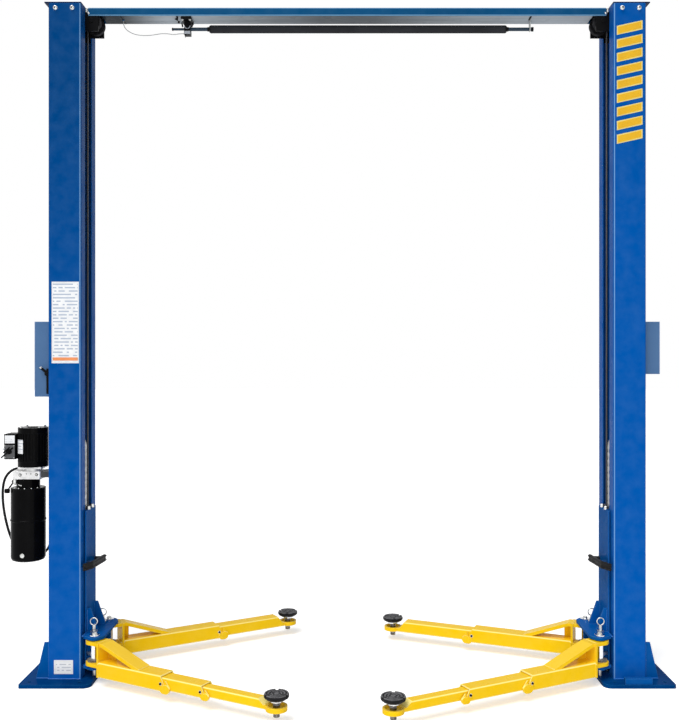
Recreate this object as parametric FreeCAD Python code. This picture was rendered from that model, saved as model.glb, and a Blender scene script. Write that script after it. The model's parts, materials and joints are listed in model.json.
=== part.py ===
"""Two post car lift with an overhead beam, four telescoping arms and a side power unit.

All lengths are millimetres. X runs from the left post to the right post, Y runs away
from the front of the lift and Z is up. The origin is on the floor, midway between the
posts. The lift is shown lowered, with its arms reaching for the lifting points of a car.
Everything that both posts share is drawn for the left post and mirrored.
"""
import FreeCAD, Part
import math
import os

from FreeCAD import Vector

os.makedirs("parts", exist_ok=True)

# Driving dimensions: running gap of round pieces that seat on each other, and how far a cut or a
# hidden joint runs past the face that it meets
fit_gap = 0.3
past = 1.0

# Driving dimensions: posts and base
inside_width = 2820.0
post_width = 174.0
post_depth = 285.0
post_wall = 6.0
post_corner = 10.0
lip_width = 75.0
post_top = 3600.0
base_thickness = 19.0
base_outside = 129.0
base_inside = 72.0
base_depth = 465.0
base_corner = 42.0
base_outer_corner = 12.0
anchor_hole_radius = 10.0
anchor_edge = 45.0
gusset_height = 190.0
gusset_top_width = 24.0
gusset_foot_width = 68.0
gusset_thickness = 10.0
gusset_inset = 12.0
cap_thickness = 6.0
cap_overhang = 20.0
stop_start = 39.0
stop_width = 141.0
stop_inset = 6.0
stop_depth = 30.0
stop_height = 30.0
bend_gap = 1.0

# Driving dimensions: overhead beam, sheaves and cables
beam_width = 132.0
beam_rise = 5.0
beam_height = 45.0
beam_wall = 5.0
beam_corner = 8.0
beam_end_gap = 16.0
bracket_plate_thickness = 8.0
bracket_height = 120.0
bracket_reach = 70.0
bracket_depth = 120.0
bracket_window_half = 50.0
sheave_pitch_radius = 45.0
sheave_thickness = 22.0
sheave_flange = 6.0
sheave_lip = 1.5
sheave_floor_step = 1.0
cable_inset = 15.0
cable_radius = 5.0
cable_y = 36.0
axle_radius = 12.0
low_sheave_pitch_radius = 36.0
low_sheave_z = 76.0
low_sheave_thickness = 16.0
low_axle_radius = 8.0
low_ear_thickness = 4.0
low_ear_half = 14.0

# Driving dimensions: hydraulic cylinder, roller and chain
cylinder_radius = 38.0
cylinder_inset = 74.0
cylinder_height = 1060.0
gland_height = 30.0
gland_step = 4.0
rod_radius = 25.0
rod_out = 61.0
roller_pitch_radius = 52.0
roller_width = 36.0
roller_boss_radius = 14.0
yoke_gap = 2.0
yoke_cheek = 6.0
yoke_cheek_half = 20.0
yoke_cheek_rise = 16.0
yoke_base_half = 26.0
yoke_base_height = 10.0
yoke_drop = 18.0
chain_pitch = 19.05
chain_depth = 16.0
chain_wide = 34.0
chain_narrow = 22.0
chain_low_end = 210.0
chain_back_links = 14
chain_anchor_height = 30.0

# Driving dimensions: carriage
carriage_bottom = 62.0
carriage_height = 838.0
carriage_wall = 8.0
carriage_face_half = 92.0
neck_gap = 9.5
carriage_side_gap = 24.5
carriage_face_gap = 6.0
shoulder_gap = 24.0
carriage_back_gap = 14.0
block_height = 120.0
block_depth_x = 36.0
block_gap = 0.3
plate_thickness = 15.0
top_plate_z = 235.0
low_plate_z = 80.0
web_thickness = 12.0
web_y = 70.0
web_reach = 90.0
face_gusset_height = 126.0
face_gusset_foot = 62.0
face_gusset_top = 18.0
guard_z = 592.0
guard_height = 36.0
guard_thickness = 14.0
guard_front_y = 150.0
guard_rear_y = 96.0
guard_bend_y = 92.0
guard_bend_out = 30.0
guard_rear_out = 50.0
guard_foot_length = 30.0
plate_nose = 8.0
plate_margin = 6.0
plate_round_share = 0.6
stud_drop = 60.0
stud_rise = 6.0
stud_radius = 10.0
stud_bore_gap = 1.5
lug_thickness = 20.0
lug_half = 11.0
low_stud_height = 340.0
low_stud_length = 60.0

# Driving dimensions: arm pins and restraint
pin_out = 60.0
pin_y = 150.0
pin_radius = 19.0
pin_head_radius = 27.0
pin_head = 8.0
pin_foot = 8.0
pin_running_gap = 0.08
plate_corner = 52.0
restraint_back = 20.0
restraint_side = 58.0
restraint_radius = 9.0
restraint_top = 292.0
ring_radius = 19.0
ring_wire = 3.0
ring_sink = 2.0
collar_height = 10.0
collar_step = 5.0
gear_outer = 37.0
gear_depth = 7.0
gear_height = 12.0
gear_teeth = 24
pawl_thickness = 16.0
pawl_lift = 8.0
pawl_back = 6.0
pawl_half_angle = 34.0
tooth_gap = 0.8

# Driving dimensions: arms
ear_radius = 45.0
ear_thickness = 18.0
ear_gap = 5.0
end_plate_x = 60.0
end_plate_thickness = 12.0
tube_width = 100.0
tube_height = 80.0
tube_bottom = 54.0
tube_wall = 7.0
tube_corner = 8.0
strut_end_x = 335.0
strut_nose = 24.0
strut_nose_top = 30.0
strut_foot = 40.0
strut_foot_rise = 4.0
rib_y = 30.0
rib_length = 60.0
rib_drop = 12.0
rib_thickness = 8.0
end_slant_share = 0.35
end_sill_share = 0.3
end_clear = 60.0
nest_seat = 0.3
nest_side_gap = 1.5
nest_top_gap = 2.7
second_wall = 6.0
third_width = 58.0
front_outer_end = 510.0
front_middle_length = 476.0
front_tip_length = 490.0
rear_outer_end = 665.0
rear_tip_length = 572.0
ring_outer_radius = 52.0
ring_height = 22.0
ring_recess_radius = 40.0
ring_recess = 8.0
lug_drop = 6.0
lug_share = 0.26
lug_inset = 6.0
lug_stand = 4.0
tip_overlap = 14.0
tip_slope_low = 4.0
tip_slope_high = 34.0

# How far each arm is swung out and drawn out: degrees, and lengths past the tube before
front_left_angle = 28.3
front_left_middle_out = 240.0
front_left_tip_out = 390.0
front_right_angle = 27.0
front_right_middle_out = 366.0
front_right_tip_out = 382.0
rear_left_angle = 30.2
rear_left_tip_out = 452.0
rear_right_angle = 22.8
rear_right_tip_out = 482.0

# Driving dimensions: pads
screw_radius = 16.0
screw_gap = 0.3
screw_below = 16.0
pad_gap = 32.0
pad_radius = 60.0
pad_thickness = 26.0
pad_plate_radius = 40.0
pad_plate = 5.0
pad_groove_depth = 4.0
pad_grooves = ((10.0, 18.0), (28.0, 38.0))
pad_notch_length = 12.0
pad_notch_half = 6.0

# Driving dimensions: lock covers and release handle
cover_stand = 99.0
cover_half = 62.0
cover_wall = 3.0
left_cover_height = 404.0
right_cover_height = 282.0
cover_top = 1914.0
handle_out = 22.0
handle_below_top = 278.0
handle_stand = 24.0
handle_bar = 12.0
handle_hub_radius = 16.0
handle_hang = 110.0
handle_head = 26.0
handle_grip = 52.0
handle_tail = 4.0
handle_grip_angle = 38.0
handle_pivot_radius = 8.0

# Driving dimensions: power unit on the left post
tank_radius = 91.0
tank_out = 154.0
tank_bottom = 620.0
tank_height = 396.0
tank_edge = 18.0
tank_edge_share = 0.3
tank_lip = 4.0
tank_band_share = 0.54
tank_band_height = 12.0
tank_band_stand = 3.0
tank_neck_radius = 62.0
drain_radius = 12.0
drain_height = 40.0
drain_reach = 6.0
neck_height = 49.0
manifold_height = 42.0
manifold_shift = 10.0
manifold_width_x = 150.0
manifold_width_y = 120.0
manifold_corner = 10.0
flange_thickness = 10.0
flange_half = 62.0
coupling_share = 0.62
motor_radius = 80.0
motor_out = 128.0
coupling_height = 23.0
motor_height = 212.0
motor_bell = 30.0
motor_fins = 28
motor_fin_depth = 6.0
box_depth = 58.0
box_y_half = 55.0
box_rise = 42.0
box_height = 136.0
box_grip = 2.0
unit_bracket_rise = 9.0
unit_bracket_height = 33.0
unit_bracket_half = 50.0
lever_out = 62.0
lever_drop = 13.0
lever_y = 44.0
lever_radius = 4.0
lever_hub_radius = 10.0
lever_reach = 38.0
lever_hang = 52.0
knob_radius = 13.0

# Driving dimensions: shut off bar and limit switch
bar_drop = 50.0
bar_left = -954.0
bar_right = 1014.0
bar_radius = 9.5
bar_stub_radius = 6.5
foam_left = -744.0
foam_right = 861.0
foam_radius = 21.0
switch_x = -869.0
switch_width = 54.0
switch_front = 60.0
switch_rear = 34.0
switch_plate = 15.0
switch_body_half_x = 17.0
switch_body_half_y = 21.0
switch_body_top = 15.0
switch_body_bottom = 34.0
hanger_x = 995.0
hanger_wire = 3.0
pivot_radius = 3.0
pivot_stick = 3.0
cheek_inner = 12.0
cheek_outer = 17.0

# Driving dimensions: hose and switch wire
hose_radius = 7.0
hose_fitting_radius = 11.0
wire_radius = 2.0
grommet_radius = 6.0
grommet_height = 5.0

# Hose: its elbows, and its route from the valve block's rear round the tank to the post
hose_elbow_reach = 26.0
hose_route = [
    (-1770.0, 90.0, 1094.0), (-1806.0, 96.0, 1106.0), (-1845.0, 101.0, 1104.0),
    (-1880.0, 105.0, 1084.0), (-1906.0, 108.0, 1050.0), (-1918.0, 110.0, 1003.0),
    (-1921.0, 112.0, 943.0), (-1915.0, 114.0, 871.0), (-1901.0, 116.0, 797.0),
    (-1881.0, 117.0, 727.0), (-1854.0, 118.0, 669.0), (-1816.0, 119.0, 627.0),
    (-1766.0, 119.0, 607.0), (-1712.0, 118.0, 615.0), (-1670.0, 117.0, 649.0),
    (-1648.0, 115.0, 703.0), (-1641.0, 113.0, 777.0), (-1642.0, 112.0, 860.0),
    (-1641.0, 112.0, 940.0), (-1639.0, 112.0, 1000.0), (-1640.0, 112.0, 1044.0),
]

# Route of the thin wire, from under the beam to the limit switch
wire_route = [
    (-1220.0, 0.0, 3555.0), (-1220.0, 0.0, 3534.0), (-1206.0, 1.0, 3509.0),
    (-1178.0, 2.0, 3490.0), (-1142.0, 3.0, 3479.0), (-1098.0, 3.0, 3476.0),
    (-1054.0, 2.0, 3480.0), (-1014.0, 1.0, 3487.0), (-978.0, 0.0, 3486.0),
    (-944.0, 0.0, 3480.0), (-914.0, 0.0, 3486.0), (-886.0, 0.0, 3486.0),
]

# Values worked out from the driving dimensions
post_inner_x = inside_width / 2.0
post_outer_x = post_inner_x + post_width
post_half = post_depth / 2.0
gap_half = post_half - lip_width
base_outer_x = post_outer_x + base_outside
base_inner_x = post_inner_x - base_inside
beam_top = post_top + beam_rise
beam_bottom = beam_top - beam_height
bar_z = beam_bottom - bar_drop
sheave_z = beam_top - beam_height / 2.0 - sheave_pitch_radius
cable_x = post_inner_x + cable_inset
sheave_x = cable_x - sheave_pitch_radius
cylinder_x = post_inner_x + cylinder_inset
gland_top = base_thickness + cylinder_height + gland_height
roller_z = gland_top + rod_out + yoke_drop + roller_pitch_radius
face_inner_x = post_inner_x - carriage_face_gap
face_outer_x = face_inner_x - carriage_wall
carriage_neck_half = gap_half - neck_gap
carriage_half = post_half - post_wall - carriage_side_gap
shoulder_x = post_inner_x + post_wall + shoulder_gap
carriage_back_x = post_outer_x - post_wall - carriage_back_gap
guard_bend_x = face_outer_x - guard_bend_out
guard_rear_x = face_outer_x - guard_rear_out
pin_x = face_outer_x - pin_out
restraint_x = pin_x + restraint_back
restraint_y = pin_y - restraint_side
carriage_top = carriage_bottom + carriage_height
bend_room = post_corner - post_wall + bend_gap
bore_top = restraint_top + ring_radius
upper_ear_z = top_plate_z - ear_gap - ear_thickness
lower_ear_z = low_plate_z + plate_thickness + ear_gap
gear_top = lower_ear_z + ear_thickness + gear_height
pawl_z = gear_top + pawl_lift
tube_top = tube_bottom + tube_height
second_height = tube_height - 2.0 * tube_wall - nest_seat - nest_top_gap
second_width = tube_width - 2.0 * (tube_wall + nest_side_gap)
second_bottom = tube_bottom + tube_wall + nest_seat
third_height = second_height - 2.0 * second_wall - nest_seat - nest_top_gap
third_bottom = second_bottom + second_wall + nest_seat
tank_x = post_outer_x + tank_out
manifold_bottom = tank_bottom + tank_height + neck_height
manifold_top = manifold_bottom + manifold_height
motor_x = post_outer_x + motor_out
motor_bottom = manifold_top + coupling_height
box_x_low = motor_x + motor_radius + box_depth
box_bottom = motor_bottom + box_rise
unit_bracket_z = manifold_bottom + unit_bracket_rise
lever_pivot_x = tank_x + lever_out
lever_pivot_z = manifold_bottom - lever_drop
lever_tip_x = lever_pivot_x + lever_reach
lever_tip_z = lever_pivot_z - lever_hang
handle_x = post_outer_x + handle_out
handle_z = cover_top - handle_below_top
handle_y = cover_half + handle_stand

LEFT = -1.0
RIGHT = 1.0


def block(x_low, x_high, y_low, y_high, z_low, z_high):
    """A box between two corners."""
    corner = Vector(min(x_low, x_high), min(y_low, y_high), z_low)
    return Part.makeBox(abs(x_high - x_low), abs(y_high - y_low), z_high - z_low, corner)


def post(x, y, z_low, z_high, radius):
    """A round bar along Z."""
    return Part.makeCylinder(radius, z_high - z_low, Vector(x, y, z_low))


def bar_along(start, end, radius):
    """A round bar between two points."""
    return Part.makeCylinder(radius, (end - start).Length, start, end - start)


def prism(points, height, direction=Vector(0, 0, 1)):
    """A straight sided outline pulled along a direction."""
    closed = points + [points[0]]
    return Part.Face(Part.makePolygon(closed)).extrude(direction * height)


def fused(shapes):
    """One solid from shapes that overlap or touch."""
    whole = shapes[0]
    for shape in shapes[1:]:
        whole = whole.fuse(shape)
    return whole.removeSplitter()


def apart(shapes):
    """Solids that do not touch, kept in one node."""
    return Part.makeCompound(shapes)


def mirrored(shape):
    """The same shape on the right post."""
    return shape.mirror(Vector(0, 0, 0), Vector(1, 0, 0))


def half_turned(shape):
    """The same shape on the right post, turned half a turn about the middle of the lift."""
    piece = shape.copy()
    piece.rotate(Vector(0, 0, 0), Vector(0, 0, 1), 180)
    return piece


def swung(shape, angle, x, y):
    """An arm piece turned about its pin and moved to it."""
    piece = shape.copy()
    piece.rotate(Vector(0, 0, 0), Vector(0, 0, 1), angle)
    piece.translate(Vector(x, y, 0))
    return piece


def rounded_plate(corners, z_low, thickness):
    """A flat plate whose outline is given as (x, y, corner radius)."""
    count = len(corners)
    edges = []
    ends = []
    for index in range(count):
        x, y, radius = corners[index]
        here = Vector(x, y, z_low)
        before = Vector(corners[index - 1][0], corners[index - 1][1], z_low)
        after = Vector(corners[(index + 1) % count][0], corners[(index + 1) % count][1], z_low)
        to_before = (before - here).normalize()
        to_after = (after - here).normalize()
        if radius <= 0.0:
            ends.append((here, here, None))
            continue
        half_angle = to_before.getAngle(to_after) / 2.0
        setback = radius / math.tan(half_angle)
        middle = here + (to_before + to_after).normalize() * (radius / math.sin(half_angle) - radius)
        ends.append((here + to_before * setback, here + to_after * setback, middle))
    for index in range(count):
        arc_start, arc_end, middle = ends[index]
        if middle is not None:
            edges.append(Part.Arc(arc_start, middle, arc_end).toShape())
        next_start = ends[(index + 1) % count][0]
        if (next_start - arc_end).Length > 1e-6:
            edges.append(Part.LineSegment(arc_end, next_start).toShape())
    return Part.Face(Part.Wire(edges)).extrude(Vector(0, 0, thickness))


def rounded_bar(x_low, x_high, y_half, z_low, z_high, corner):
    """A bar along X whose long edges are rounded."""
    section = [
        (-y_half, z_low, corner), (y_half, z_low, corner),
        (y_half, z_high, corner), (-y_half, z_high, corner),
    ]
    bar = rounded_plate(section, 0.0, x_high - x_low)
    bar.rotate(Vector(0, 0, 0), Vector(1, 1, 1), 120)
    bar.translate(Vector(x_low, 0, 0))
    return bar


def turned(profile, axis_point, axis):
    """A solid of revolution from an outline of points."""
    face = Part.Face(Part.makePolygon(profile + [profile[0]]))
    return face.revolve(axis_point, axis, 360)


def export(name, shape):
    """Write one node."""
    shape.exportStep(os.path.join("parts", name + ".step"))


# Posts and base


def base_plate():
    """Floor plate with a rounded inner end and its anchor holes."""
    half = base_depth / 2.0
    plate = rounded_plate(
        [
            (-base_outer_x, -half, base_outer_corner),
            (-base_inner_x, -half, base_corner),
            (-base_inner_x, half, base_corner),
            (-base_outer_x, half, base_outer_corner),
        ],
        0.0,
        base_thickness,
    )
    for x, y in anchor_places():
        plate = plate.cut(post(x, y, -past, base_thickness + past, anchor_hole_radius))
    return plate


def anchor_places():
    """Centres of the four anchor holes of the left base plate."""
    y = base_depth / 2.0 - anchor_edge
    outer = -(base_outer_x - anchor_edge)
    inner = -(base_inner_x + anchor_edge + base_corner / 2.0)
    return [(outer, -y), (inner, -y), (outer, y), (inner, y)]


def post_channel():
    """Channel post that opens inwards between two lips."""
    outer = rounded_plate(
        [
            (-post_outer_x, -post_half, post_corner),
            (-post_inner_x, -post_half, post_corner),
            (-post_inner_x, post_half, post_corner),
            (-post_outer_x, post_half, post_corner),
        ],
        base_thickness,
        post_top - base_thickness,
    )
    inner_corner = post_corner - post_wall
    inner = rounded_plate(
        [
            (-post_outer_x + post_wall, -post_half + post_wall, inner_corner),
            (-post_inner_x - post_wall, -post_half + post_wall, inner_corner),
            (-post_inner_x - post_wall, post_half - post_wall, inner_corner),
            (-post_outer_x + post_wall, post_half - post_wall, inner_corner),
        ],
        base_thickness - past,
        post_top - base_thickness + 2.0 * past,
    )
    mouth = block(
        -post_inner_x - post_wall - past, -post_inner_x + past,
        -gap_half, gap_half, base_thickness - past, post_top + past,
    )
    return outer.cut(inner).cut(mouth)


def base_gusset(y_low):
    """Tapered rib between the post's web and the base plate."""
    points = [
        Vector(-post_outer_x, y_low, base_thickness),
        Vector(-post_outer_x - gusset_foot_width, y_low, base_thickness),
        Vector(-post_outer_x - gusset_top_width, y_low, base_thickness + gusset_height),
        Vector(-post_outer_x, y_low, base_thickness + gusset_height),
    ]
    return prism(points, gusset_thickness, Vector(0, 1, 0))


def base_gussets():
    """Front and rear ribs of one post."""
    front = base_gusset(-post_half + gusset_inset)
    rear = base_gusset(post_half - gusset_inset - gusset_thickness)
    return [front, rear]


def top_cap():
    """Flat cover plate on one post."""
    return block(
        -post_outer_x - cap_overhang, -post_inner_x,
        -post_half, post_half, post_top, post_top + cap_thickness,
    )


# Overhead beam, sheaves and equaliser cables


def overhead_beam():
    """Hollow beam with rounded long edges, cut under its ends for the sheaves."""
    end = post_inner_x - beam_end_gap
    half = beam_width / 2.0
    outer = rounded_bar(-end, end, half, beam_bottom, beam_top, beam_corner)
    inner = block(
        -end - past, end + past, -half + beam_wall, half - beam_wall,
        beam_bottom + beam_wall, beam_top - beam_wall,
    )
    beam = outer.cut(inner)
    slot_end = sheave_x - sheave_pitch_radius - 2.0 * sheave_flange
    for side in (LEFT, RIGHT):
        slot = block(
            side * slot_end, side * (end + past), -half + beam_wall, half - beam_wall,
            beam_bottom - past, beam_bottom + beam_wall + past,
        )
        beam = beam.cut(slot)
    grommet_x = wire_route[0][0]
    grommet = post(grommet_x, 0, beam_bottom - grommet_height, beam_bottom + past, grommet_radius)
    return fused([beam, grommet])


def head_bracket():
    """Welded bracket in the top of the left post, whose two cheeks carry the beam and the axle."""
    low = beam_top - beam_wall - bracket_height
    high = beam_top - beam_wall
    cross_x = -post_inner_x - post_wall - bracket_plate_thickness
    side_inner = post_half - post_wall - bracket_plate_thickness
    cheek_half = beam_width / 2.0 - beam_wall
    cross = block(
        cross_x, cross_x + bracket_plate_thickness, -side_inner, side_inner, low, post_top,
    )
    window = block(
        cross_x - past, cross_x + bracket_plate_thickness + past,
        -bracket_window_half, bracket_window_half, low - past, post_top + past,
    )
    plates = [cross.cut(window)]
    for side in (LEFT, RIGHT):
        plates.append(block(
            cross_x + bracket_plate_thickness - bracket_depth, cross_x + bracket_plate_thickness - bend_room,
            side * side_inner, side * (side_inner + bracket_plate_thickness), low, post_top,
        ))
        plates.append(block(
            cross_x + bracket_plate_thickness, -post_inner_x + bracket_reach,
            side * (cheek_half - bracket_plate_thickness), side * cheek_half, low, high,
        ))
    return fused(plates)


def sheave(pitch_radius, thickness, flange, bore):
    """Grooved wheel about the Y axis, centred on the origin."""
    rim = pitch_radius + flange
    groove = pitch_radius - cable_radius - fit_gap
    floor_half = cable_radius - sheave_floor_step
    wall_half = cable_radius + fit_gap
    half = thickness / 2.0
    lip = half - sheave_lip
    profile = [
        Vector(bore, -half, 0), Vector(rim, -half, 0), Vector(rim, -lip, 0),
        Vector(pitch_radius, -wall_half, 0), Vector(groove, -floor_half, 0),
        Vector(groove, floor_half, 0), Vector(pitch_radius, wall_half, 0),
        Vector(rim, lip, 0), Vector(rim, half, 0), Vector(bore, half, 0),
    ]
    return turned(profile, Vector(0, 0, 0), Vector(0, 1, 0))


def top_sheaves():
    """Two grooved wheels on one axle at the left end of the beam."""
    reach = beam_width / 2.0 - beam_wall - bracket_plate_thickness
    solids = [bar_along(Vector(-sheave_x, -reach, sheave_z), Vector(-sheave_x, reach, sheave_z), axle_radius)]
    for y in (-cable_y, cable_y):
        wheel = sheave(sheave_pitch_radius, sheave_thickness, sheave_flange, axle_radius)
        wheel.translate(Vector(-sheave_x, y, sheave_z))
        solids.append(wheel)
    return fused(solids)


def low_sheave():
    """Wheel on two ears at the foot of the left post, turning the other cable upwards."""
    wheel = sheave(low_sheave_pitch_radius, low_sheave_thickness, sheave_flange, low_axle_radius)
    wheel.rotate(Vector(0, 0, 0), Vector(0, 0, 1), 90)
    wheel.translate(Vector(-cable_x, 0, low_sheave_z))
    ear_start = low_sheave_thickness / 2.0
    axle = bar_along(
        Vector(-cable_x - ear_start - low_ear_thickness, 0, low_sheave_z),
        Vector(-cable_x + ear_start + low_ear_thickness, 0, low_sheave_z), low_axle_radius,
    )
    ears = []
    for side in (LEFT, RIGHT):
        near = -cable_x + side * ear_start
        ears.append(block(
            near, near + side * low_ear_thickness, -low_ear_half, low_ear_half,
            base_thickness, low_sheave_z + low_ear_half,
        ))
    return fused([wheel, axle] + ears)


def cable_path_sweep(points_and_arcs):
    """Round cable along a wire of straight runs and arcs."""
    wire = Part.Wire(points_and_arcs)
    start = wire.Vertexes[0].Point
    circle = Part.Circle(start, Vector(0, 0, 1), cable_radius)
    section = Part.Wire([circle.toShape()])
    return wire.makePipeShell([section], True, True)


def quarter(centre, radius, start_angle, end_angle, axis_u, axis_v):
    """Arc edge about a centre in the plane of two axes."""
    def at(angle):
        turn = math.radians(angle)
        return centre + axis_u * (radius * math.cos(turn)) + axis_v * (radius * math.sin(turn))
    return Part.Arc(at(start_angle), at((start_angle + end_angle) / 2.0), at(end_angle)).toShape()


def equaliser_cable():
    """From the left carriage over the beam, down the right post and up to its carriage."""
    x_axis = Vector(1, 0, 0)
    y_axis = Vector(0, 1, 0)
    z_axis = Vector(0, 0, 1)
    run_z = sheave_z + sheave_pitch_radius
    start = Vector(-cable_x, cable_y, carriage_top - stud_drop + 2.0 * lug_thickness)
    left_tangent = Vector(-cable_x, cable_y, sheave_z)
    left_top = Vector(-sheave_x, cable_y, run_z)
    right_top = Vector(sheave_x, cable_y, run_z)
    right_tangent = Vector(cable_x, cable_y, sheave_z)
    low_tangent = Vector(cable_x, cable_y, low_sheave_z)
    low_exit = Vector(cable_x, -cable_y, low_sheave_z)
    end = Vector(cable_x, -cable_y, carriage_bottom + low_stud_height + lug_thickness)
    edges = [
        Part.LineSegment(start, left_tangent).toShape(),
        quarter(Vector(-sheave_x, cable_y, sheave_z), sheave_pitch_radius, 180, 90, x_axis, z_axis),
        Part.LineSegment(left_top, right_top).toShape(),
        quarter(Vector(sheave_x, cable_y, sheave_z), sheave_pitch_radius, 90, 0, x_axis, z_axis),
        Part.LineSegment(right_tangent, low_tangent).toShape(),
        quarter(Vector(cable_x, 0, low_sheave_z), low_sheave_pitch_radius, 0, -180, y_axis, z_axis),
        Part.LineSegment(low_exit, end).toShape(),
    ]
    return cable_path_sweep(edges)


def equaliser_cables():
    """The two cables, one the half turn of the other."""
    first = equaliser_cable()
    return apart([first, half_turned(first)])


# Hydraulic cylinder, roller and lifting chain


def lift_cylinder():
    """Barrel, rod and the yoke under the chain roller."""
    barrel = post(-cylinder_x, 0, base_thickness, base_thickness + cylinder_height, cylinder_radius)
    gland = post(
        -cylinder_x, 0, base_thickness + cylinder_height, gland_top, cylinder_radius - gland_step,
    )
    yoke_low = roller_z - roller_pitch_radius - yoke_drop
    rod = post(-cylinder_x, 0, base_thickness + cylinder_height, yoke_low, rod_radius)
    cheek_inner_y = roller_width / 2.0 + yoke_gap
    cheek_outer_y = cheek_inner_y + yoke_cheek
    yoke_base = block(
        -cylinder_x - yoke_base_half, -cylinder_x + yoke_base_half, -cheek_outer_y, cheek_outer_y,
        yoke_low - yoke_base_height, yoke_low,
    )
    cheeks = []
    for side in (LEFT, RIGHT):
        cheeks.append(block(
            -cylinder_x - yoke_cheek_half, -cylinder_x + yoke_cheek_half, side * cheek_inner_y,
            side * cheek_outer_y, yoke_low - yoke_base_height, roller_z + yoke_cheek_rise,
        ))
    return fused([barrel, gland, rod, yoke_base] + cheeks)


def chain_roller():
    """Roller that the chain runs over."""
    half = roller_width / 2.0
    rim = roller_pitch_radius - chain_depth / 2.0 - fit_gap
    boss = roller_boss_radius
    end = half + yoke_gap
    profile = [
        Vector(0, -end, 0), Vector(boss, -end, 0), Vector(boss, -half, 0), Vector(rim, -half, 0),
        Vector(rim, half, 0), Vector(boss, half, 0), Vector(boss, end, 0), Vector(0, end, 0),
    ]
    wheel = turned(profile, Vector(0, 0, 0), Vector(0, 1, 0))
    wheel.translate(Vector(-cylinder_x, 0, roller_z))
    return wheel


def chain_run(x, z_top, links):
    """Straight run of leaf chain, whose links are wide and narrow by turns."""
    left_side = []
    right_side = []
    for index in range(links):
        half = (chain_wide if index % 2 == 0 else chain_narrow) / 2.0
        upper = z_top - index * chain_pitch
        lower = upper - chain_pitch
        left_side += [Vector(x, -half, upper), Vector(x, -half, lower)]
        right_side += [Vector(x, half, upper), Vector(x, half, lower)]
    outline = left_side + right_side[::-1]
    run = prism(outline, chain_depth, Vector(1, 0, 0))
    run.translate(Vector(-chain_depth / 2.0, 0, 0))
    return run


def lift_chain():
    """Leaf chain from the carriage, over the roller and down to its anchor."""
    front_links = int((roller_z - chain_low_end) / chain_pitch)
    front_x = -cylinder_x + roller_pitch_radius
    back_x = -cylinder_x - roller_pitch_radius
    front = chain_run(front_x, roller_z, front_links)
    back = chain_run(back_x, roller_z, chain_back_links)
    inner = roller_pitch_radius - chain_depth / 2.0
    outer = roller_pitch_radius + chain_depth / 2.0
    ring = Part.makeCylinder(outer, chain_wide, Vector(0, -chain_wide / 2.0, 0), Vector(0, 1, 0))
    ring = ring.cut(Part.makeCylinder(inner, chain_wide, Vector(0, -chain_wide / 2.0, 0), Vector(0, 1, 0)))
    ring = ring.cut(block(-outer - past, outer + past, -chain_wide, chain_wide, -outer - past, 0))
    ring.translate(Vector(-cylinder_x, 0, roller_z))
    anchor_z = roller_z - chain_back_links * chain_pitch
    anchor = block(
        back_x - chain_depth / 2.0, -cylinder_x, -chain_wide / 2.0, chain_wide / 2.0,
        anchor_z - chain_anchor_height, anchor_z,
    )
    barrel_room = post(
        -cylinder_x, 0, anchor_z - chain_anchor_height - past, anchor_z + past, cylinder_radius,
    )
    anchor = anchor.cut(barrel_room)
    return fused([front, back, ring, anchor])


# Carriage


def carriage():
    """Hollow slide in the post, with the arm bracket welded to its face."""
    bottom = carriage_bottom
    top = carriage_top
    wall = carriage_wall
    face = block(-face_inner_x, -face_outer_x, -carriage_face_half, carriage_face_half, bottom, top)
    pieces = [face]
    for side in (LEFT, RIGHT):
        neck = side * carriage_neck_half
        flank = side * carriage_half
        pieces.append(block(-shoulder_x, -face_inner_x, neck - side * wall, neck, bottom, top))
        pieces.append(block(-shoulder_x, -shoulder_x + wall, neck - side * wall, flank, bottom, top))
        pieces.append(block(-carriage_back_x, -shoulder_x + wall, flank - side * wall, flank, bottom, top))
    pieces.append(block(
        -carriage_back_x, -carriage_back_x + wall, -carriage_half, carriage_half, bottom, top,
    ))
    pieces.append(bracket_plate(top_plate_z))
    pieces.append(bracket_plate(low_plate_z))
    for side in (LEFT, RIGHT):
        y = side * web_y
        pieces.append(block(
            -face_outer_x, -face_outer_x + web_reach, y - web_thickness / 2.0,
            y + web_thickness / 2.0, low_plate_z, top_plate_z + past,
        ))
        pieces.append(face_gusset(side))
    pieces += cable_studs()
    whole = fused(pieces)
    for side in (LEFT, RIGHT):
        whole = whole.cut(post(-pin_x, side * pin_y, 0.0, bore_top, pin_radius + pin_running_gap))
        whole = whole.cut(post(
            -restraint_x, side * restraint_y, 0.0, bore_top, restraint_radius + block_gap,
        ))
    return whole


def bracket_plate(z_low):
    """Flat plate whose inner corners are rounded about the arm pins."""
    near = -face_outer_x
    far = -pin_x + plate_corner
    reach = pin_y + plate_corner
    plate_round = plate_corner * plate_round_share
    return rounded_plate(
        [
            (near, -post_half - plate_margin, 0.0),
            (-pin_x + plate_nose, -reach, plate_round),
            (far, -pin_y, plate_round),
            (far, pin_y, plate_round),
            (-pin_x + plate_nose, reach, plate_round),
            (near, post_half + plate_margin, 0.0),
        ],
        z_low,
        plate_thickness,
    )


def face_gusset(side):
    """Rib from the face down to the top plate."""
    y = side * web_y
    z_low = top_plate_z + plate_thickness
    points = [
        Vector(-face_outer_x, y - web_thickness / 2.0, z_low),
        Vector(-face_outer_x + face_gusset_foot, y - web_thickness / 2.0, z_low),
        Vector(-face_outer_x + face_gusset_top, y - web_thickness / 2.0, z_low + face_gusset_height),
        Vector(-face_outer_x, y - web_thickness / 2.0, z_low + face_gusset_height),
    ]
    return prism(points, web_thickness, Vector(0, 1, 0))


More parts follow.
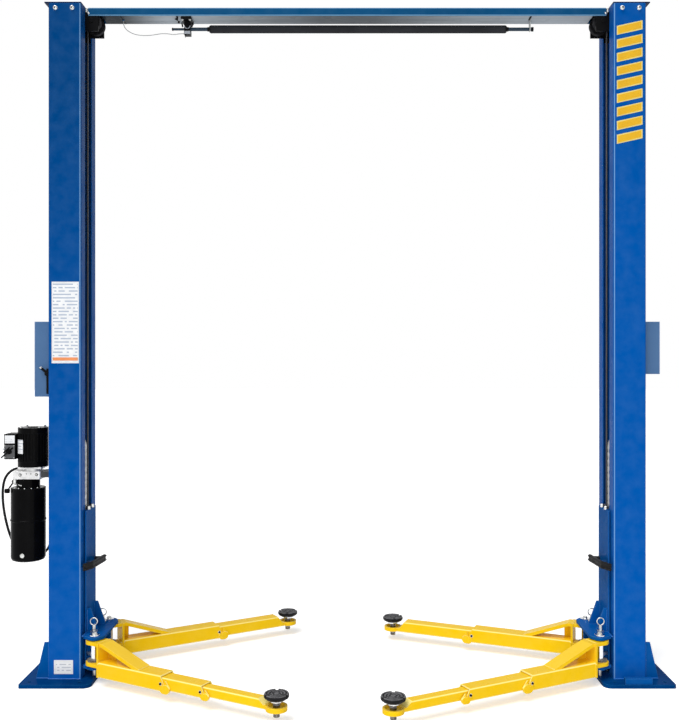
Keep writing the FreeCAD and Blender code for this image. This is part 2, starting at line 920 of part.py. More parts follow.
def cable_studs():
    """Lugs and hollow studs at the two cable ends."""
    studs = []
    upper = (carriage_top - stud_drop, carriage_top + stud_rise)
    low_start = carriage_bottom + low_stud_height
    for z_low, z_high in (upper, (low_start, low_start + low_stud_length)):
        lug = block(
            -cable_x - stud_radius, -face_inner_x, cable_y - lug_half,
            carriage_neck_half - carriage_wall + past, z_low, z_low + lug_thickness,
        )
        stud = post(-cable_x, cable_y, z_low, z_high, stud_radius)
        bore = post(-cable_x, cable_y, z_low - past, z_high + past, cable_radius + stud_bore_gap)
        studs.append(lug.fuse(stud).cut(bore))
    return studs


def slide_blocks():
    """Plastic blocks at the corners, top and bottom, that run on the post."""
    solids = []
    for z_low in (carriage_bottom, carriage_top - block_height):
        for side in (LEFT, RIGHT):
            near = side * carriage_half
            far = side * (post_half - post_wall - block_gap)
            front_x = -post_inner_x - post_wall - block_gap
            back_x = -post_outer_x + post_wall + block_gap
            for wall_x, inward in ((front_x, -1.0), (back_x, 1.0)):
                outline = [
                    Vector(wall_x + inward * block_depth_x, near, z_low),
                    Vector(wall_x, near, z_low),
                    Vector(wall_x, far - side * bend_room, z_low),
                    Vector(wall_x + inward * bend_room, far, z_low),
                    Vector(wall_x + inward * block_depth_x, far, z_low),
                ]
                solids.append(prism(outline, block_height))
    return apart(solids)


def door_guard():
    """Bent rubber strip that passes in front of the post's lip, on two feet on the carriage face."""
    half = guard_thickness / 2.0
    round_end = half * 0.9
    strip = rounded_plate(
        [
            (-face_outer_x - half, -guard_front_y, round_end),
            (-face_outer_x + half, -guard_front_y, round_end),
            (-guard_bend_x + half, -guard_bend_y, guard_thickness),
            (-guard_rear_x + half, guard_rear_y, round_end),
            (-guard_rear_x - half, guard_rear_y, round_end),
            (-guard_bend_x - half, -guard_bend_y + half, half),
        ],
        guard_z,
        guard_height,
    )
    feet = []
    for y_low, reach_x in (
        (-guard_bend_y + half, guard_bend_x), (guard_bend_y - guard_foot_length, guard_rear_x + half),
    ):
        feet.append(block(
            -face_outer_x, -reach_x, y_low, y_low + guard_foot_length,
            guard_z + guard_height / 4.0, guard_z + guard_height * 3.0 / 4.0,
        ))
    return fused([strip] + feet)


def arm_pins():
    """Two pins through the bracket plates."""
    pins = []
    for side in (LEFT, RIGHT):
        shank = post(
            -pin_x, side * pin_y, low_plate_z - pin_foot, top_plate_z + plate_thickness + past, pin_radius,
        )
        head_low = top_plate_z + plate_thickness
        head = post(-pin_x, side * pin_y, head_low, head_low + pin_head, pin_head_radius)
        pins.append(fused([shank, head]))
    return apart(pins)


def arm_restraint(side):
    """Pull rod with its ring above the bracket and its toothed pawl between the plates."""
    x = -restraint_x
    y = side * restraint_y
    rod = post(x, y, base_thickness + block_gap, restraint_top, restraint_radius)
    ring_centre = Vector(x, y, restraint_top + ring_radius - ring_sink)
    ring = Part.makeTorus(ring_radius, ring_wire, ring_centre, Vector(0, 1, 0))
    collar_low = top_plate_z + plate_thickness + block_gap
    collar = post(x, y, collar_low, collar_low + collar_height, restraint_radius + collar_step)
    return fused([rod, ring, collar, restraint_pawl(side)])


def restraint_pawl(side):
    """Toothed block that drops into the arm's gear."""
    distance = math.hypot(restraint_x - pin_x, pin_y - restraint_y)
    direction = math.atan2(-side * (pin_y - restraint_y), -(restraint_x - pin_x))
    body = post(0, 0, pawl_z, pawl_z + pawl_thickness, distance + pawl_back)
    body = body.cut(post(0, 0, pawl_z - past, pawl_z + pawl_thickness + past, gear_outer - gear_depth))
    reach = 2.0 * distance
    across = reach * math.tan(math.radians(pawl_half_angle))
    wedge = prism(
        [Vector(0, 0, pawl_z), Vector(reach, -across, pawl_z), Vector(reach, across, pawl_z)],
        pawl_thickness,
    )
    body = body.common(wedge)
    body = body.cut(gear_ring(gear_outer + tooth_gap, pawl_z - past, pawl_thickness + 2.0 * past))
    body.rotate(Vector(0, 0, 0), Vector(0, 0, 1), math.degrees(direction))
    body.translate(Vector(-pin_x, side * pin_y, 0))
    return body


def gear_ring(outer, z_low, height):
    """Toothed disc about the Z axis."""
    root = outer - gear_depth
    points = []
    step = 2.0 * math.pi / gear_teeth
    for tooth in range(gear_teeth):
        for share, radius in ((-0.25, root), (-0.12, outer), (0.12, outer), (0.25, root)):
            angle = (tooth + share) * step
            points.append(Vector(radius * math.cos(angle), radius * math.sin(angle), z_low))
    return prism(points, height)


# Arms, drawn along +X with the pin at the origin


def rectangular_tube(x_low, x_high, width, z_low, height, wall):
    """Straight tube with rounded long edges, open at both ends."""
    outer = rounded_bar(x_low, x_high, width / 2.0, z_low, z_low + height, tube_corner)
    inner = rounded_bar(
        x_low - past, x_high + past, width / 2.0 - wall,
        z_low + wall, z_low + height - wall, tube_corner - wall,
    )
    return outer.cut(inner)


def end_cut(x_end, width, z_low, height):
    """Wedge that slants a tube's end so that its floor reaches further than its roof."""
    slant = height * end_slant_share
    sill = z_low + height * end_sill_share
    points = [
        Vector(x_end - slant, -width, z_low + height + past),
        Vector(x_end, -width, sill),
        Vector(x_end + end_clear, -width, sill),
        Vector(x_end + end_clear, -width, z_low + height + past),
    ]
    return prism(points, 2.0 * width, Vector(0, 1, 0))


def pin_ear(z_low):
    """Ear about the pin, running to the end plate."""
    ear = post(0, 0, z_low, z_low + ear_thickness, ear_radius)
    tongue = block(0, end_plate_x + past, -ear_radius, ear_radius, z_low, z_low + ear_thickness)
    return ear.fuse(tongue)


def arm_first_stage(end_x):
    """Clevis, strut, tube and the toothed ring of the restraint."""
    half = tube_width / 2.0
    flat_half = half - tube_corner
    upper_top = upper_ear_z + ear_thickness
    tube_start = end_plate_x + end_plate_thickness
    plate = block(end_plate_x, tube_start, -half, half, tube_bottom, upper_top)
    tube = rectangular_tube(tube_start, end_x, tube_width, tube_bottom, tube_height, tube_wall)
    tube = tube.cut(end_cut(end_x, tube_width, tube_bottom, tube_height))
    strut_points = [
        Vector(end_plate_x, -flat_half, upper_ear_z),
        Vector(end_plate_x + strut_nose, -flat_half, upper_ear_z),
        Vector(strut_end_x - strut_foot, -flat_half, tube_top - past),
        Vector(strut_end_x, -flat_half, tube_top - past),
        Vector(strut_end_x, -flat_half, tube_top + strut_foot_rise),
        Vector(end_plate_x + strut_nose_top, -flat_half, upper_top),
        Vector(end_plate_x, -flat_half, upper_top),
    ]
    strut = prism(strut_points, 2.0 * flat_half, Vector(0, 1, 0))
    web = prism(
        [
            Vector(tube_start - past, rib_y, tube_top - past),
            Vector(end_plate_x + rib_length, rib_y, tube_top - past),
            Vector(end_plate_x + rib_length, rib_y, upper_ear_z - rib_drop),
            Vector(tube_start - past, rib_y, upper_ear_z + past),
        ],
        rib_thickness, Vector(0, 1, 0),
    )
    gear = gear_ring(gear_outer, lower_ear_z + ear_thickness - past, gear_height + past)
    lugs = end_lugs(end_x, tube_width, tube_bottom, tube_height)
    whole = fused([pin_ear(upper_ear_z), pin_ear(lower_ear_z), plate, tube, strut, web, gear] + lugs)
    return whole.cut(post(0, 0, 0.0, bore_top, pin_radius + pin_running_gap))


def end_lugs(end_x, width, z_low, height):
    """Rounded side lugs at the lower end of a tube."""
    lugs = []
    for side in (LEFT, RIGHT):
        y_inner = side * (width / 2.0 - past)
        y_outer = side * (width / 2.0 + lug_stand)
        radius = height * lug_share
        centre = Vector(end_x - lug_inset, 0, z_low + radius - lug_drop)
        lugs.append(bar_along(centre + Vector(0, y_inner, 0), centre + Vector(0, y_outer, 0), radius))
    return lugs


def arm_second_stage(end_x):
    """Middle tube of a front arm."""
    tube = rectangular_tube(
        end_x - front_middle_length, end_x, second_width, second_bottom, second_height, second_wall,
    )
    tube = tube.cut(end_cut(end_x, second_width, second_bottom, second_height))
    return fused([tube] + end_lugs(end_x, second_width, second_bottom, second_height))


def pad_ring(x, z_low):
    """Ring eye that holds the pad screw."""
    ring = post(x, 0, z_low, z_low + ring_height, ring_outer_radius)
    recess = post(x, 0, z_low + ring_height - ring_recess, z_low + ring_height + past, ring_recess_radius)
    return ring.cut(recess)


def arm_last_stage(start_x, reach, width, z_low, height):
    """Bar with a slanted end and the ring eye."""
    neck = reach - ring_outer_radius
    outline = [
        Vector(start_x, -width / 2.0, z_low),
        Vector(neck + tip_overlap, -width / 2.0, z_low),
        Vector(neck + tip_overlap, -width / 2.0, z_low + ring_height),
        Vector(neck - tip_slope_low, -width / 2.0, z_low + ring_height),
        Vector(neck - tip_slope_high, -width / 2.0, z_low + height),
        Vector(start_x, -width / 2.0, z_low + height),
    ]
    rounding = rounded_bar(start_x, neck + tip_overlap, width / 2.0, z_low, z_low + height, tube_corner)
    bar = prism(outline, width, Vector(0, 1, 0)).common(rounding)
    whole = fused([bar, pad_ring(reach, z_low)])
    return whole.cut(post(reach, 0, 0.0, bore_top, screw_radius + screw_gap))


def pad_screw(reach, z_low):
    """Steel screw with its flange under the rubber."""
    top = z_low + ring_height + pad_gap
    shank = post(reach, 0, z_low - screw_below, top, screw_radius)
    flange = post(reach, 0, top - pad_plate, top, pad_plate_radius)
    return fused([shank, flange])


def rubber_pad(reach, z_low):
    """Round rubber pad with a raised rim, blocks and a notch."""
    low = z_low + ring_height + pad_gap
    pad = post(reach, 0, low, low + pad_thickness, pad_radius)
    top = low + pad_thickness
    for start, end in pad_grooves:
        groove = post(reach, 0, top - pad_groove_depth, top + past, pad_radius - start)
        groove = groove.cut(post(reach, 0, low, top + 2.0 * past, pad_radius - end))
        pad = pad.cut(groove)
    notch = block(
        reach + pad_radius - pad_notch_length, reach + pad_radius + past, -pad_notch_half, pad_notch_half,
        low - past, top + past,
    )
    return pad.cut(notch)


# Lock covers, power unit and shut off bar


def lock_cover(height):
    """Folded steel cover on the post's outer web, open towards the web."""
    z_low = cover_top - height
    outer = block(
        -post_outer_x - cover_stand, -post_outer_x, -cover_half, cover_half, z_low, cover_top,
    )
    inner = block(
        -post_outer_x - cover_stand + cover_wall, -post_outer_x + past,
        -cover_half + cover_wall, cover_half - cover_wall, z_low + cover_wall, cover_top - cover_wall,
    )
    return outer.cut(inner)


def release_handle():
    """Bent lever in front of the left lock cover."""
    y = -handle_y
    half = handle_bar / 2.0
    hub = bar_along(
        Vector(-handle_x, y, handle_z), Vector(-handle_x, y + handle_bar, handle_z), handle_hub_radius,
    )
    upright = block(
        -handle_x - half, -handle_x + half, y, y + handle_bar, handle_z - handle_hang, handle_z + handle_head,
    )
    lever = block(-handle_tail, handle_grip, y, y + handle_bar, -half, half)
    lever.rotate(Vector(0, 0, 0), Vector(0, 1, 0), 180 + handle_grip_angle)
    lever.translate(Vector(-handle_x, 0, handle_z))
    return fused([hub, upright, lever])


def handle_pivot():
    """Stub on the lock cover that the handle turns on."""
    return bar_along(
        Vector(-handle_x, -handle_y + handle_bar + fit_gap, handle_z),
        Vector(-handle_x, -cover_half, handle_z), handle_pivot_radius,
    )


def oil_tank():
    """Round tank with a rolled band, a soft lower edge, its neck and a drain plug."""
    r = tank_radius
    h = tank_height
    e = tank_edge
    band = h * tank_band_share
    neck = manifold_bottom - tank_bottom
    soft = e * tank_edge_share
    band_top = band + tank_band_height
    stand = tank_band_stand
    profile = [
        Vector(0, 0, 0), Vector(r - e, 0, 0), Vector(r - soft, 0, soft), Vector(r, 0, e),
        Vector(r, 0, band), Vector(r + stand, 0, band + stand), Vector(r + stand, 0, band_top - stand),
        Vector(r, 0, band_top), Vector(r, 0, h - tank_lip), Vector(r - tank_lip, 0, h),
        Vector(tank_neck_radius, 0, h), Vector(tank_neck_radius, 0, neck), Vector(0, 0, neck),
    ]
    tank = turned(profile, Vector(0, 0, 0), Vector(0, 0, 1))
    plug = bar_along(Vector(0, 0, drain_height), Vector(0, -r - drain_reach, drain_height), drain_radius)
    whole = fused([tank, plug])
    whole.translate(Vector(-tank_x, 0, tank_bottom))
    return whole


def manifold():
    """Cast valve block between the motor and the tank, with the motor's square flange."""
    x_low = -tank_x + manifold_shift - manifold_width_x / 2.0
    body = block(
        x_low, x_low + manifold_width_x,
        -manifold_width_y / 2.0, manifold_width_y / 2.0, manifold_bottom, manifold_top,
    )
    upright = [edge for edge in body.Edges if abs(edge.tangentAt(edge.FirstParameter).z) > 0.9]
    body = body.makeFillet(manifold_corner, upright)
    coupling = post(-motor_x, 0, manifold_top - past, motor_bottom, motor_radius * coupling_share)
    flange = block(
        -motor_x - flange_half, -motor_x + flange_half, -flange_half, flange_half,
        motor_bottom - flange_thickness, motor_bottom,
    )
    return fused([body, coupling, flange, block_elbow()])


def lowering_lever():
    """Hand lever on the valve block's outer side, with a ball knob."""
    pivot = Vector(-lever_pivot_x, -lever_y, lever_pivot_z)
    tip = Vector(-lever_tip_x, -lever_y, lever_tip_z)
    hub = bar_along(
        pivot - Vector(0, lever_hub_radius, 0), pivot + Vector(0, lever_hub_radius, 0), lever_hub_radius,
    )
    rod = bar_along(pivot, tip, lever_radius)
    return fused([hub, rod, Part.makeSphere(knob_radius, tip, tip - pivot)])


def motor():
    """Finned motor body with smooth end bells."""
    core = motor_radius - motor_fin_depth
    step = 2.0 * math.pi / motor_fins
    points = []
    for fin in range(motor_fins):
        for share, radius in ((-0.2, core), (-0.2, motor_radius), (0.2, motor_radius), (0.2, core)):
            angle = (fin + share) * step
            points.append(Vector(radius * math.cos(angle), radius * math.sin(angle), motor_bell))
    fins = prism(points, motor_height - 2.0 * motor_bell)
    lower = post(0, 0, 0.0, motor_bell + past, motor_radius)
    upper = post(0, 0, motor_height - motor_bell - past, motor_height, motor_radius)
    body = fused([fins, lower, upper])
    body.translate(Vector(-motor_x, 0, motor_bottom))
    return body


def control_box():
    """Switch box on the motor's outer side."""
    body = block(
        -box_x_low, -motor_x - motor_radius + box_grip, -box_y_half, box_y_half,
        box_bottom, box_bottom + box_height,
    )
    clearance = post(-motor_x, 0, box_bottom - past, box_bottom + box_height + past, motor_radius)
    return body.cut(clearance)


def unit_bracket():
    """Folded plate between the post's web and the valve block."""
    reach = -tank_x + manifold_shift + manifold_width_x / 2.0
    plate = block(
        reach, -post_outer_x, -unit_bracket_half, unit_bracket_half,
        unit_bracket_z, unit_bracket_z + unit_bracket_height,
    )
    return apart([plate, post_elbow()])


def shutoff_rod():
    """Thin steel rod under the beam, with a thinner stub at its left end and its pivot pin."""
    shoulder = Vector(switch_x - switch_body_half_x, 0, bar_z)
    stub = bar_along(Vector(bar_left, 0, bar_z), shoulder, bar_stub_radius)
    rod = bar_along(shoulder, Vector(bar_right, 0, bar_z), bar_radius)
    reach = cheek_outer + pivot_stick
    pin = bar_along(Vector(switch_x, -reach, bar_z), Vector(switch_x, reach, bar_z), pivot_radius)
    return fused([stub, rod, pin])


def shutoff_foam():
    """Foam sleeve on the rod."""
    left = Vector(foam_left, 0, bar_z)
    right = Vector(foam_right, 0, bar_z)
    overrun = Vector(1.0, 0, 0)
    return bar_along(left, right, foam_radius).cut(bar_along(left - overrun, right + overrun, bar_radius))


def limit_switch():
    """Foot under the beam, the two cheeks that carry the rod, and the switch body below."""
    half = switch_width / 2.0
    foot = block(
        switch_x - half, switch_x + half, -switch_front, switch_rear, beam_bottom - switch_plate, beam_bottom,
    )
    cheeks = []
    for side in (LEFT, RIGHT):
        cheeks.append(block(
            switch_x - switch_body_half_x, switch_x + switch_body_half_x, side * cheek_inner,
            side * cheek_outer, bar_z - switch_body_top - past, beam_bottom - switch_plate + past,
        ))
    body = block(
        switch_x - switch_body_half_x, switch_x + switch_body_half_x,
        -switch_body_half_y, switch_body_half_y, bar_z - switch_body_bottom, bar_z - switch_body_top,
    )
    pivot = bar_along(
        Vector(switch_x, -cheek_outer - past, bar_z), Vector(switch_x, cheek_outer + past, bar_z),
        pivot_radius + pin_running_gap,
    )
    return fused([foot] + cheeks + [body]).cut(pivot)


def bar_hanger():
    """Bent wire loop under the beam that the rod's right end rests in."""
    reach = bar_radius + fit_gap + hanger_wire
    centre = Vector(hanger_x, 0, bar_z)
    loop = Part.makeTorus(reach, hanger_wire, centre, Vector(1, 0, 0))
    loop = loop.common(block(
        hanger_x - 2.0 * hanger_wire, hanger_x + 2.0 * hanger_wire,
        -2.0 * reach, 2.0 * reach, bar_z - 2.0 * reach, bar_z,
    ))
    legs = []
    for side in (LEFT, RIGHT):
        foot = Vector(hanger_x, side * reach, bar_z)
        legs.append(bar_along(foot, Vector(hanger_x, side * reach, beam_bottom), hanger_wire))
    return fused([loop] + legs)


def cord_tube(route, radius):
    """Tube of straight runs joined by tangent arcs, and its tightest bend."""
    points = [Vector(*place) for place in route]
    edges = []
    here = points[0]
    bends = []
    for index in range(1, len(points) - 1):
        corner = points[index]
        back = points[index - 1] - corner
        ahead = points[index + 1] - corner
        shorter = min(back.Length, ahead.Length)
        half_turn = (math.pi - back.getAngle(ahead)) / 2.0
        bend = 0.45 * shorter / math.tan(half_turn)
        bends.append(bend)
        setback = 0.45 * shorter
        to_back = back.normalize()
        to_ahead = ahead.normalize()
        arc_start = corner + to_back * setback
        arc_end = corner + to_ahead * setback
        inward = (to_back + to_ahead).normalize()
        middle = corner + inward * (bend / math.cos(half_turn) - bend)
        edges.append(Part.LineSegment(here, arc_start).toShape())
        edges.append(Part.Arc(arc_start, middle, arc_end).toShape())
        here = arc_end
    edges.append(Part.LineSegment(here, points[-1]).toShape())
    wire = Part.Wire(edges)
    circle = Part.Circle(points[0], points[1] - points[0], radius)
    tube = wire.makePipeShell([Part.Wire([circle.toShape()])], True, True)
    expected = math.pi * radius * radius * wire.Length
    print("cord length %.1f tightest bend %.1f volume ratio %.4f" % (
        wire.Length, min(bends), tube.Volume / expected,
    ))
    print("bends", [round(bend) for bend in bends])
    return tube


def elbow(wall, tip, beyond):
    """Round pipe elbow that leaves a wall at right angles and ends in line with the hose."""
    tip = Vector(*tip)
    corner = tip + (tip - Vector(*beyond)).normalize() * hose_elbow_reach
    start = wall(corner)
    legs = [bar_along(start, corner, hose_fitting_radius), bar_along(corner, tip, hose_fitting_radius)]
    return fused(legs + [Part.makeSphere(hose_fitting_radius, corner)])


def block_elbow():
    """Elbow on the valve block's rear face, where the hose leaves."""
    return elbow(
        lambda corner: Vector(corner.x, manifold_width_y / 2.0, corner.z), hose_route[0], hose_route[1],
    )


def post_elbow():
    """Elbow on the post's web, where the hose ends."""
    return elbow(
        lambda corner: Vector(-post_outer_x, corner.y, corner.z), hose_route[-1], hose_route[-2],
    )


def floor_stop():
    """Bar welded across the front of the right base plate."""
    front = -base_depth / 2.0
    start = post_inner_x + stop_start
    return block(
        start, start + stop_width, front + stop_inset, front + stop_inset + stop_depth,
        base_thickness, base_thickness + stop_height,
    )


def write_fixed_parts():
    """Everything that stays with the posts."""
    plate = base_plate()
    export("base_plate_left", plate)
    export("base_plate_right", mirrored(plate))
    channel = post_channel()
    export("column_left", channel)
    export("column_right", mirrored(channel))
    gussets = base_gussets()
    export("base_gussets", apart(gussets + [mirrored(piece) for piece in gussets]))
    export("top_caps", apart([top_cap(), mirrored(top_cap())]))
    export("overhead_beam", overhead_beam())
    export("beam_brackets", apart([head_bracket(), mirrored(head_bracket())]))
    export("top_sheaves", apart([top_sheaves(), mirrored(top_sheaves())]))
    export("bottom_sheaves", apart([low_sheave(), mirrored(low_sheave())]))
    export("equaliser_cables", equaliser_cables())
    export("lift_cylinders", apart([lift_cylinder(), mirrored(lift_cylinder())]))
    export("chain_rollers", apart([chain_roller(), mirrored(chain_roller())]))
    export("lift_chains", apart([lift_chain(), mirrored(lift_chain())]))
    export("lock_cover_left", fused([lock_cover(left_cover_height), handle_pivot()]))
    export("lock_cover_right", mirrored(lock_cover(right_cover_height)))
    export("power_unit_tank", oil_tank())
    export("power_unit_manifold", manifold())
    export("power_unit_motor", motor())
    export("power_unit_switch_box", control_box())
    export("power_unit_bracket", unit_bracket())
    export("limit_switch", limit_switch())
    export("shutoff_bar_hanger", bar_hanger())
    export("floor_stop", floor_stop())
    export("power_unit_hose", cord_tube(hose_route, hose_radius))
    export("limit_switch_wire", cord_tube(wire_route, wire_radius))


def write_carriages():
    """The two slides with their blocks, guards and pins."""
    slide = carriage()
    export("carriage_left", slide)
    export("carriage_right", half_turned(slide))
    makers = {
        "slide_blocks": slide_blocks,
        "door_guard": door_guard,
        "arm_pins": arm_pins,
    }
    for name, maker in makers.items():
        left = maker()
        export(name + "_left", left)
        export(name + "_right", mirrored(left))
    for word, side in (("front", LEFT), ("rear", RIGHT)):
        rod = arm_restraint(side)
        export("arm_restraint_" + word + "_left", rod)
        export("arm_restraint_" + word + "_right", mirrored(rod))


def write_arm(word, place, side, angle, pieces):
    """One arm, turned about its pin on the left post, or the mirror of that on the right post."""
    for name, shape in pieces.items():
        piece = swung(shape, side * angle, -pin_x, side * pin_y)
        if place == "right":
            piece = mirrored(piece)
        export(word + "_" + name + "_" + place, piece)


def front_arm(middle_out, tip_out):
    """Three stages, screw and pad."""
    middle_end = front_outer_end + middle_out
    reach = middle_end + tip_out
    return {
        "arm_outer": arm_first_stage(front_outer_end),
        "arm_middle": arm_second_stage(middle_end),
        "arm_tip": arm_last_stage(reach - front_tip_length, reach, third_width, third_bottom, third_height),
        "pad_screw": pad_screw(reach, third_bottom),
        "pad": rubber_pad(reach, third_bottom),
    }


def rear_arm(tip_out):
    """Two stages, screw and pad."""
    reach = rear_outer_end + tip_out
    return {
        "arm_outer": arm_first_stage(rear_outer_end),
        "arm_tip": arm_last_stage(reach - rear_tip_length, reach, second_width, second_bottom, second_height),
        "pad_screw": pad_screw(reach, second_bottom),
        "pad": rubber_pad(reach, second_bottom),
    }


def write_arms():
    """Three stage front arms and two stage rear arms."""
    front_left = front_arm(front_left_middle_out, front_left_tip_out)
    write_arm("front", "left", LEFT, front_left_angle, front_left)
    front_right = front_arm(front_right_middle_out, front_right_tip_out)
    write_arm("front", "right", LEFT, front_right_angle, front_right)
    write_arm("rear", "left", RIGHT, rear_left_angle, rear_arm(rear_left_tip_out))
    write_arm("rear", "right", RIGHT, rear_right_angle, rear_arm(rear_right_tip_out))


def write_bar_and_handle():
    """The pieces that tilt or turn by hand."""
    export("shutoff_rod", shutoff_rod())
    export("shutoff_foam", shutoff_foam())
    export("release_handle", release_handle())
    export("lowering_lever", lowering_lever())


write_fixed_parts()
write_carriages()
write_arms()
write_bar_and_handle()
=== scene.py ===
import json
from math import atan2, cos, inf, pi, radians, sin, sqrt

import bmesh
import bpy
from mathutils import Matrix, Vector


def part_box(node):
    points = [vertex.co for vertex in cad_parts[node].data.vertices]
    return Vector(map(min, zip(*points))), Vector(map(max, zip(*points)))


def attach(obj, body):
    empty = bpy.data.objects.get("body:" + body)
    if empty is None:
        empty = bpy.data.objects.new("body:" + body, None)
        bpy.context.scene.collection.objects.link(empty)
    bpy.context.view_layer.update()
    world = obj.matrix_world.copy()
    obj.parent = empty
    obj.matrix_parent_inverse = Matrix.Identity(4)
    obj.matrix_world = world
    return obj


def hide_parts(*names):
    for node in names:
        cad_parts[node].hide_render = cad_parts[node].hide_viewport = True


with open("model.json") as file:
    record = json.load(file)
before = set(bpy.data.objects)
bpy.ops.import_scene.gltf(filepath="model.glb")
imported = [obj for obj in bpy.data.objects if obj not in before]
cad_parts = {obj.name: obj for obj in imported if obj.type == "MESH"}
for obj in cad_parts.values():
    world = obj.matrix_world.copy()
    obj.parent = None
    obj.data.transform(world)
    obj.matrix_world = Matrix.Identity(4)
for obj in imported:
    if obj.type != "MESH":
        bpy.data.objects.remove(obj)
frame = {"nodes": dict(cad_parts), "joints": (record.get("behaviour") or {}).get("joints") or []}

scene = bpy.context.scene
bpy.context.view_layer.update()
UP = Vector((0.0, 0.0, 1.0))
ALONG = Vector((1.0, 0.0, 0.0))
DEEP = Vector((0.0, 1.0, 0.0))
TURN = 2.0 * pi
WAYS = (-1.0, 1.0)
SIDES = {"left": -1.0, "right": 1.0}
ARMS = [(place, side) for place in ("front", "rear") for side in SIDES]

# Camera, in pixels of the photograph's frame and in metres
IMAGE_WIDTH = 679.0
IMAGE_HEIGHT = 720.0
FOCAL_PIXELS = 916.6
CENTRE_X_PIXEL = 347.2
HORIZON_PIXEL = 354.0
CAMERA_DISTANCE = 4.997
CAMERA_HEIGHT = 1.740
SENSOR_WIDTH = 36.0

# Posts and their plates, in metres, as the solids have them
POST_LOW, POST_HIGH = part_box("column_left")
POST_INNER = abs(POST_HIGH.x)
POST_OUTER = abs(POST_LOW.x)
POST_FRONT = POST_LOW.y
POST_BACK = POST_HIGH.y
POST_TOP = POST_HIGH.z
PLATE_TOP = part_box("base_plate_left")[1].z
# Width of the painted highlight line at the posts' inner corners
CORNER_HIGHLIGHT_WIDTH = 0.010

# Cord routes, in metres
HOSE_DIAMETER = 0.014
HOSE_ROUTE = [
    (-1.770, 0.090, 1.094), (-1.806, 0.096, 1.106), (-1.845, 0.101, 1.104),
    (-1.880, 0.105, 1.084), (-1.906, 0.108, 1.050), (-1.918, 0.110, 1.003),
    (-1.921, 0.112, 0.943), (-1.915, 0.114, 0.871), (-1.901, 0.116, 0.797),
    (-1.881, 0.117, 0.727), (-1.854, 0.118, 0.669), (-1.816, 0.119, 0.627),
    (-1.766, 0.119, 0.607), (-1.712, 0.118, 0.615), (-1.670, 0.117, 0.649),
    (-1.648, 0.115, 0.703), (-1.641, 0.113, 0.777), (-1.642, 0.112, 0.860),
    (-1.641, 0.112, 0.940), (-1.639, 0.112, 1.000), (-1.640, 0.112, 1.044),
]
WIRE_DIAMETER = 0.004
WIRE_ROUTE = [
    (-1.220, 0.000, 3.555), (-1.220, 0.000, 3.534), (-1.206, 0.001, 3.509),
    (-1.178, 0.002, 3.490), (-1.142, 0.003, 3.479), (-1.098, 0.003, 3.476),
    (-1.054, 0.002, 3.480), (-1.014, 0.001, 3.487), (-0.978, 0.000, 3.486),
    (-0.944, 0.000, 3.480), (-0.914, 0.000, 3.486), (-0.886, 0.000, 3.486),
]


def placed(name, data):
    """A new object in the scene."""
    made = bpy.data.objects.new(name, data)
    scene.collection.objects.link(made)
    return made


# Shader building


def feed(made, values):
    """Set a shader node's inputs to values, or link them to sockets."""
    for key, value in values.items():
        if isinstance(value, bpy.types.NodeSocket):
            made.id_data.links.new(value, made.inputs[key])
        else:
            made.inputs[key].default_value = value


def node(tree, kind, values=None, **settings):
    """A shader node with its settings, and values or links for its inputs."""
    made = tree.nodes.new("ShaderNode" + kind)
    for key, value in settings.items():
        setattr(made, key, value)
    feed(made, values or {})
    return made


def new_material(name):
    """A material, its tree and its principled shader."""
    material = bpy.data.materials.new(name)
    material.use_nodes = True
    return material, material.node_tree, material.node_tree.nodes["Principled BSDF"]


def mixed(tree, factor, first, second):
    """A blend of two colours, each a socket or a plain colour."""
    tones = [tone if isinstance(tone, bpy.types.NodeSocket) else (*tone, 1.0) for tone in (first, second)]
    return node(tree, "Mix", {0: factor, 6: tones[0], 7: tones[1]}, data_type="RGBA").outputs[2]


def ranged(tree, value, low, high, new_low=0.0, new_high=1.0):
    """A value moved from one range to another, clamped."""
    values = {"Value": value, "From Min": low, "From Max": high, "To Min": new_low, "To Max": new_high}
    return node(tree, "MapRange", values).outputs["Result"]


def calculated(tree, operation, *values):
    """The outcome of one operation on one or two values."""
    return node(tree, "Math", dict(enumerate(values)), operation=operation).outputs[0]


def times(tree, first, second):
    """Two values multiplied."""
    return calculated(tree, "MULTIPLY", first, second)


def place_of(tree):
    """Coordinates that stay with the piece."""
    return node(tree, "TexCoord").outputs["Object"]


def normal_of(tree):
    """The surface's own normal."""
    return node(tree, "NewGeometry").outputs["Normal"]


def part_of(tree, vector, axis):
    """One coordinate of a vector."""
    return node(tree, "SeparateXYZ", {"Vector": vector}).outputs[axis]


def size_of(tree, vector, axis):
    """How far a vector reaches along one axis, either way."""
    return calculated(tree, "ABSOLUTE", part_of(tree, vector, axis))


def noise(tree, scale, detail=3.0, vector=None):
    """Fractal noise at a scale in cycles per metre."""
    values = {"Vector": vector or place_of(tree), "Scale": scale, "Detail": detail}
    return node(tree, "TexNoise", values).outputs["Fac"]


def patches(tree, scale, detail, low, high, new_low=0.0, new_high=1.0):
    """Noise moved from one range to another."""
    return ranged(tree, noise(tree, scale, detail), low, high, new_low, new_high)


def stretched(tree, scale):
    """Coordinates scaled along each axis."""
    return node(tree, "Mapping", {"Vector": place_of(tree), "Scale": scale}).outputs["Vector"]


def bumped(tree, shader, height, distance, strength, normal=None):
    """Bump on the shader's normal."""
    values = {"Height": height, "Distance": distance, "Strength": strength}
    if normal is not None:
        values["Normal"] = normal
    feed(shader, {"Normal": node(tree, "Bump", values).outputs["Normal"]})


def edge_mask(tree, radius):
    """Rounded normals, and how near a point is to an edge."""
    rounded = node(tree, "Bevel", {"Radius": radius}, samples=6).outputs["Normal"]
    both = {0: rounded, 1: normal_of(tree)}
    agree = node(tree, "VectorMath", both, operation="DOT_PRODUCT").outputs["Value"]
    return rounded, ranged(tree, agree, 0.996, 0.90)


def slow_drift(tree):
    """Tone that wanders over a metre or so."""
    return patches(tree, 1.3, 2.0, 0.3, 0.7)


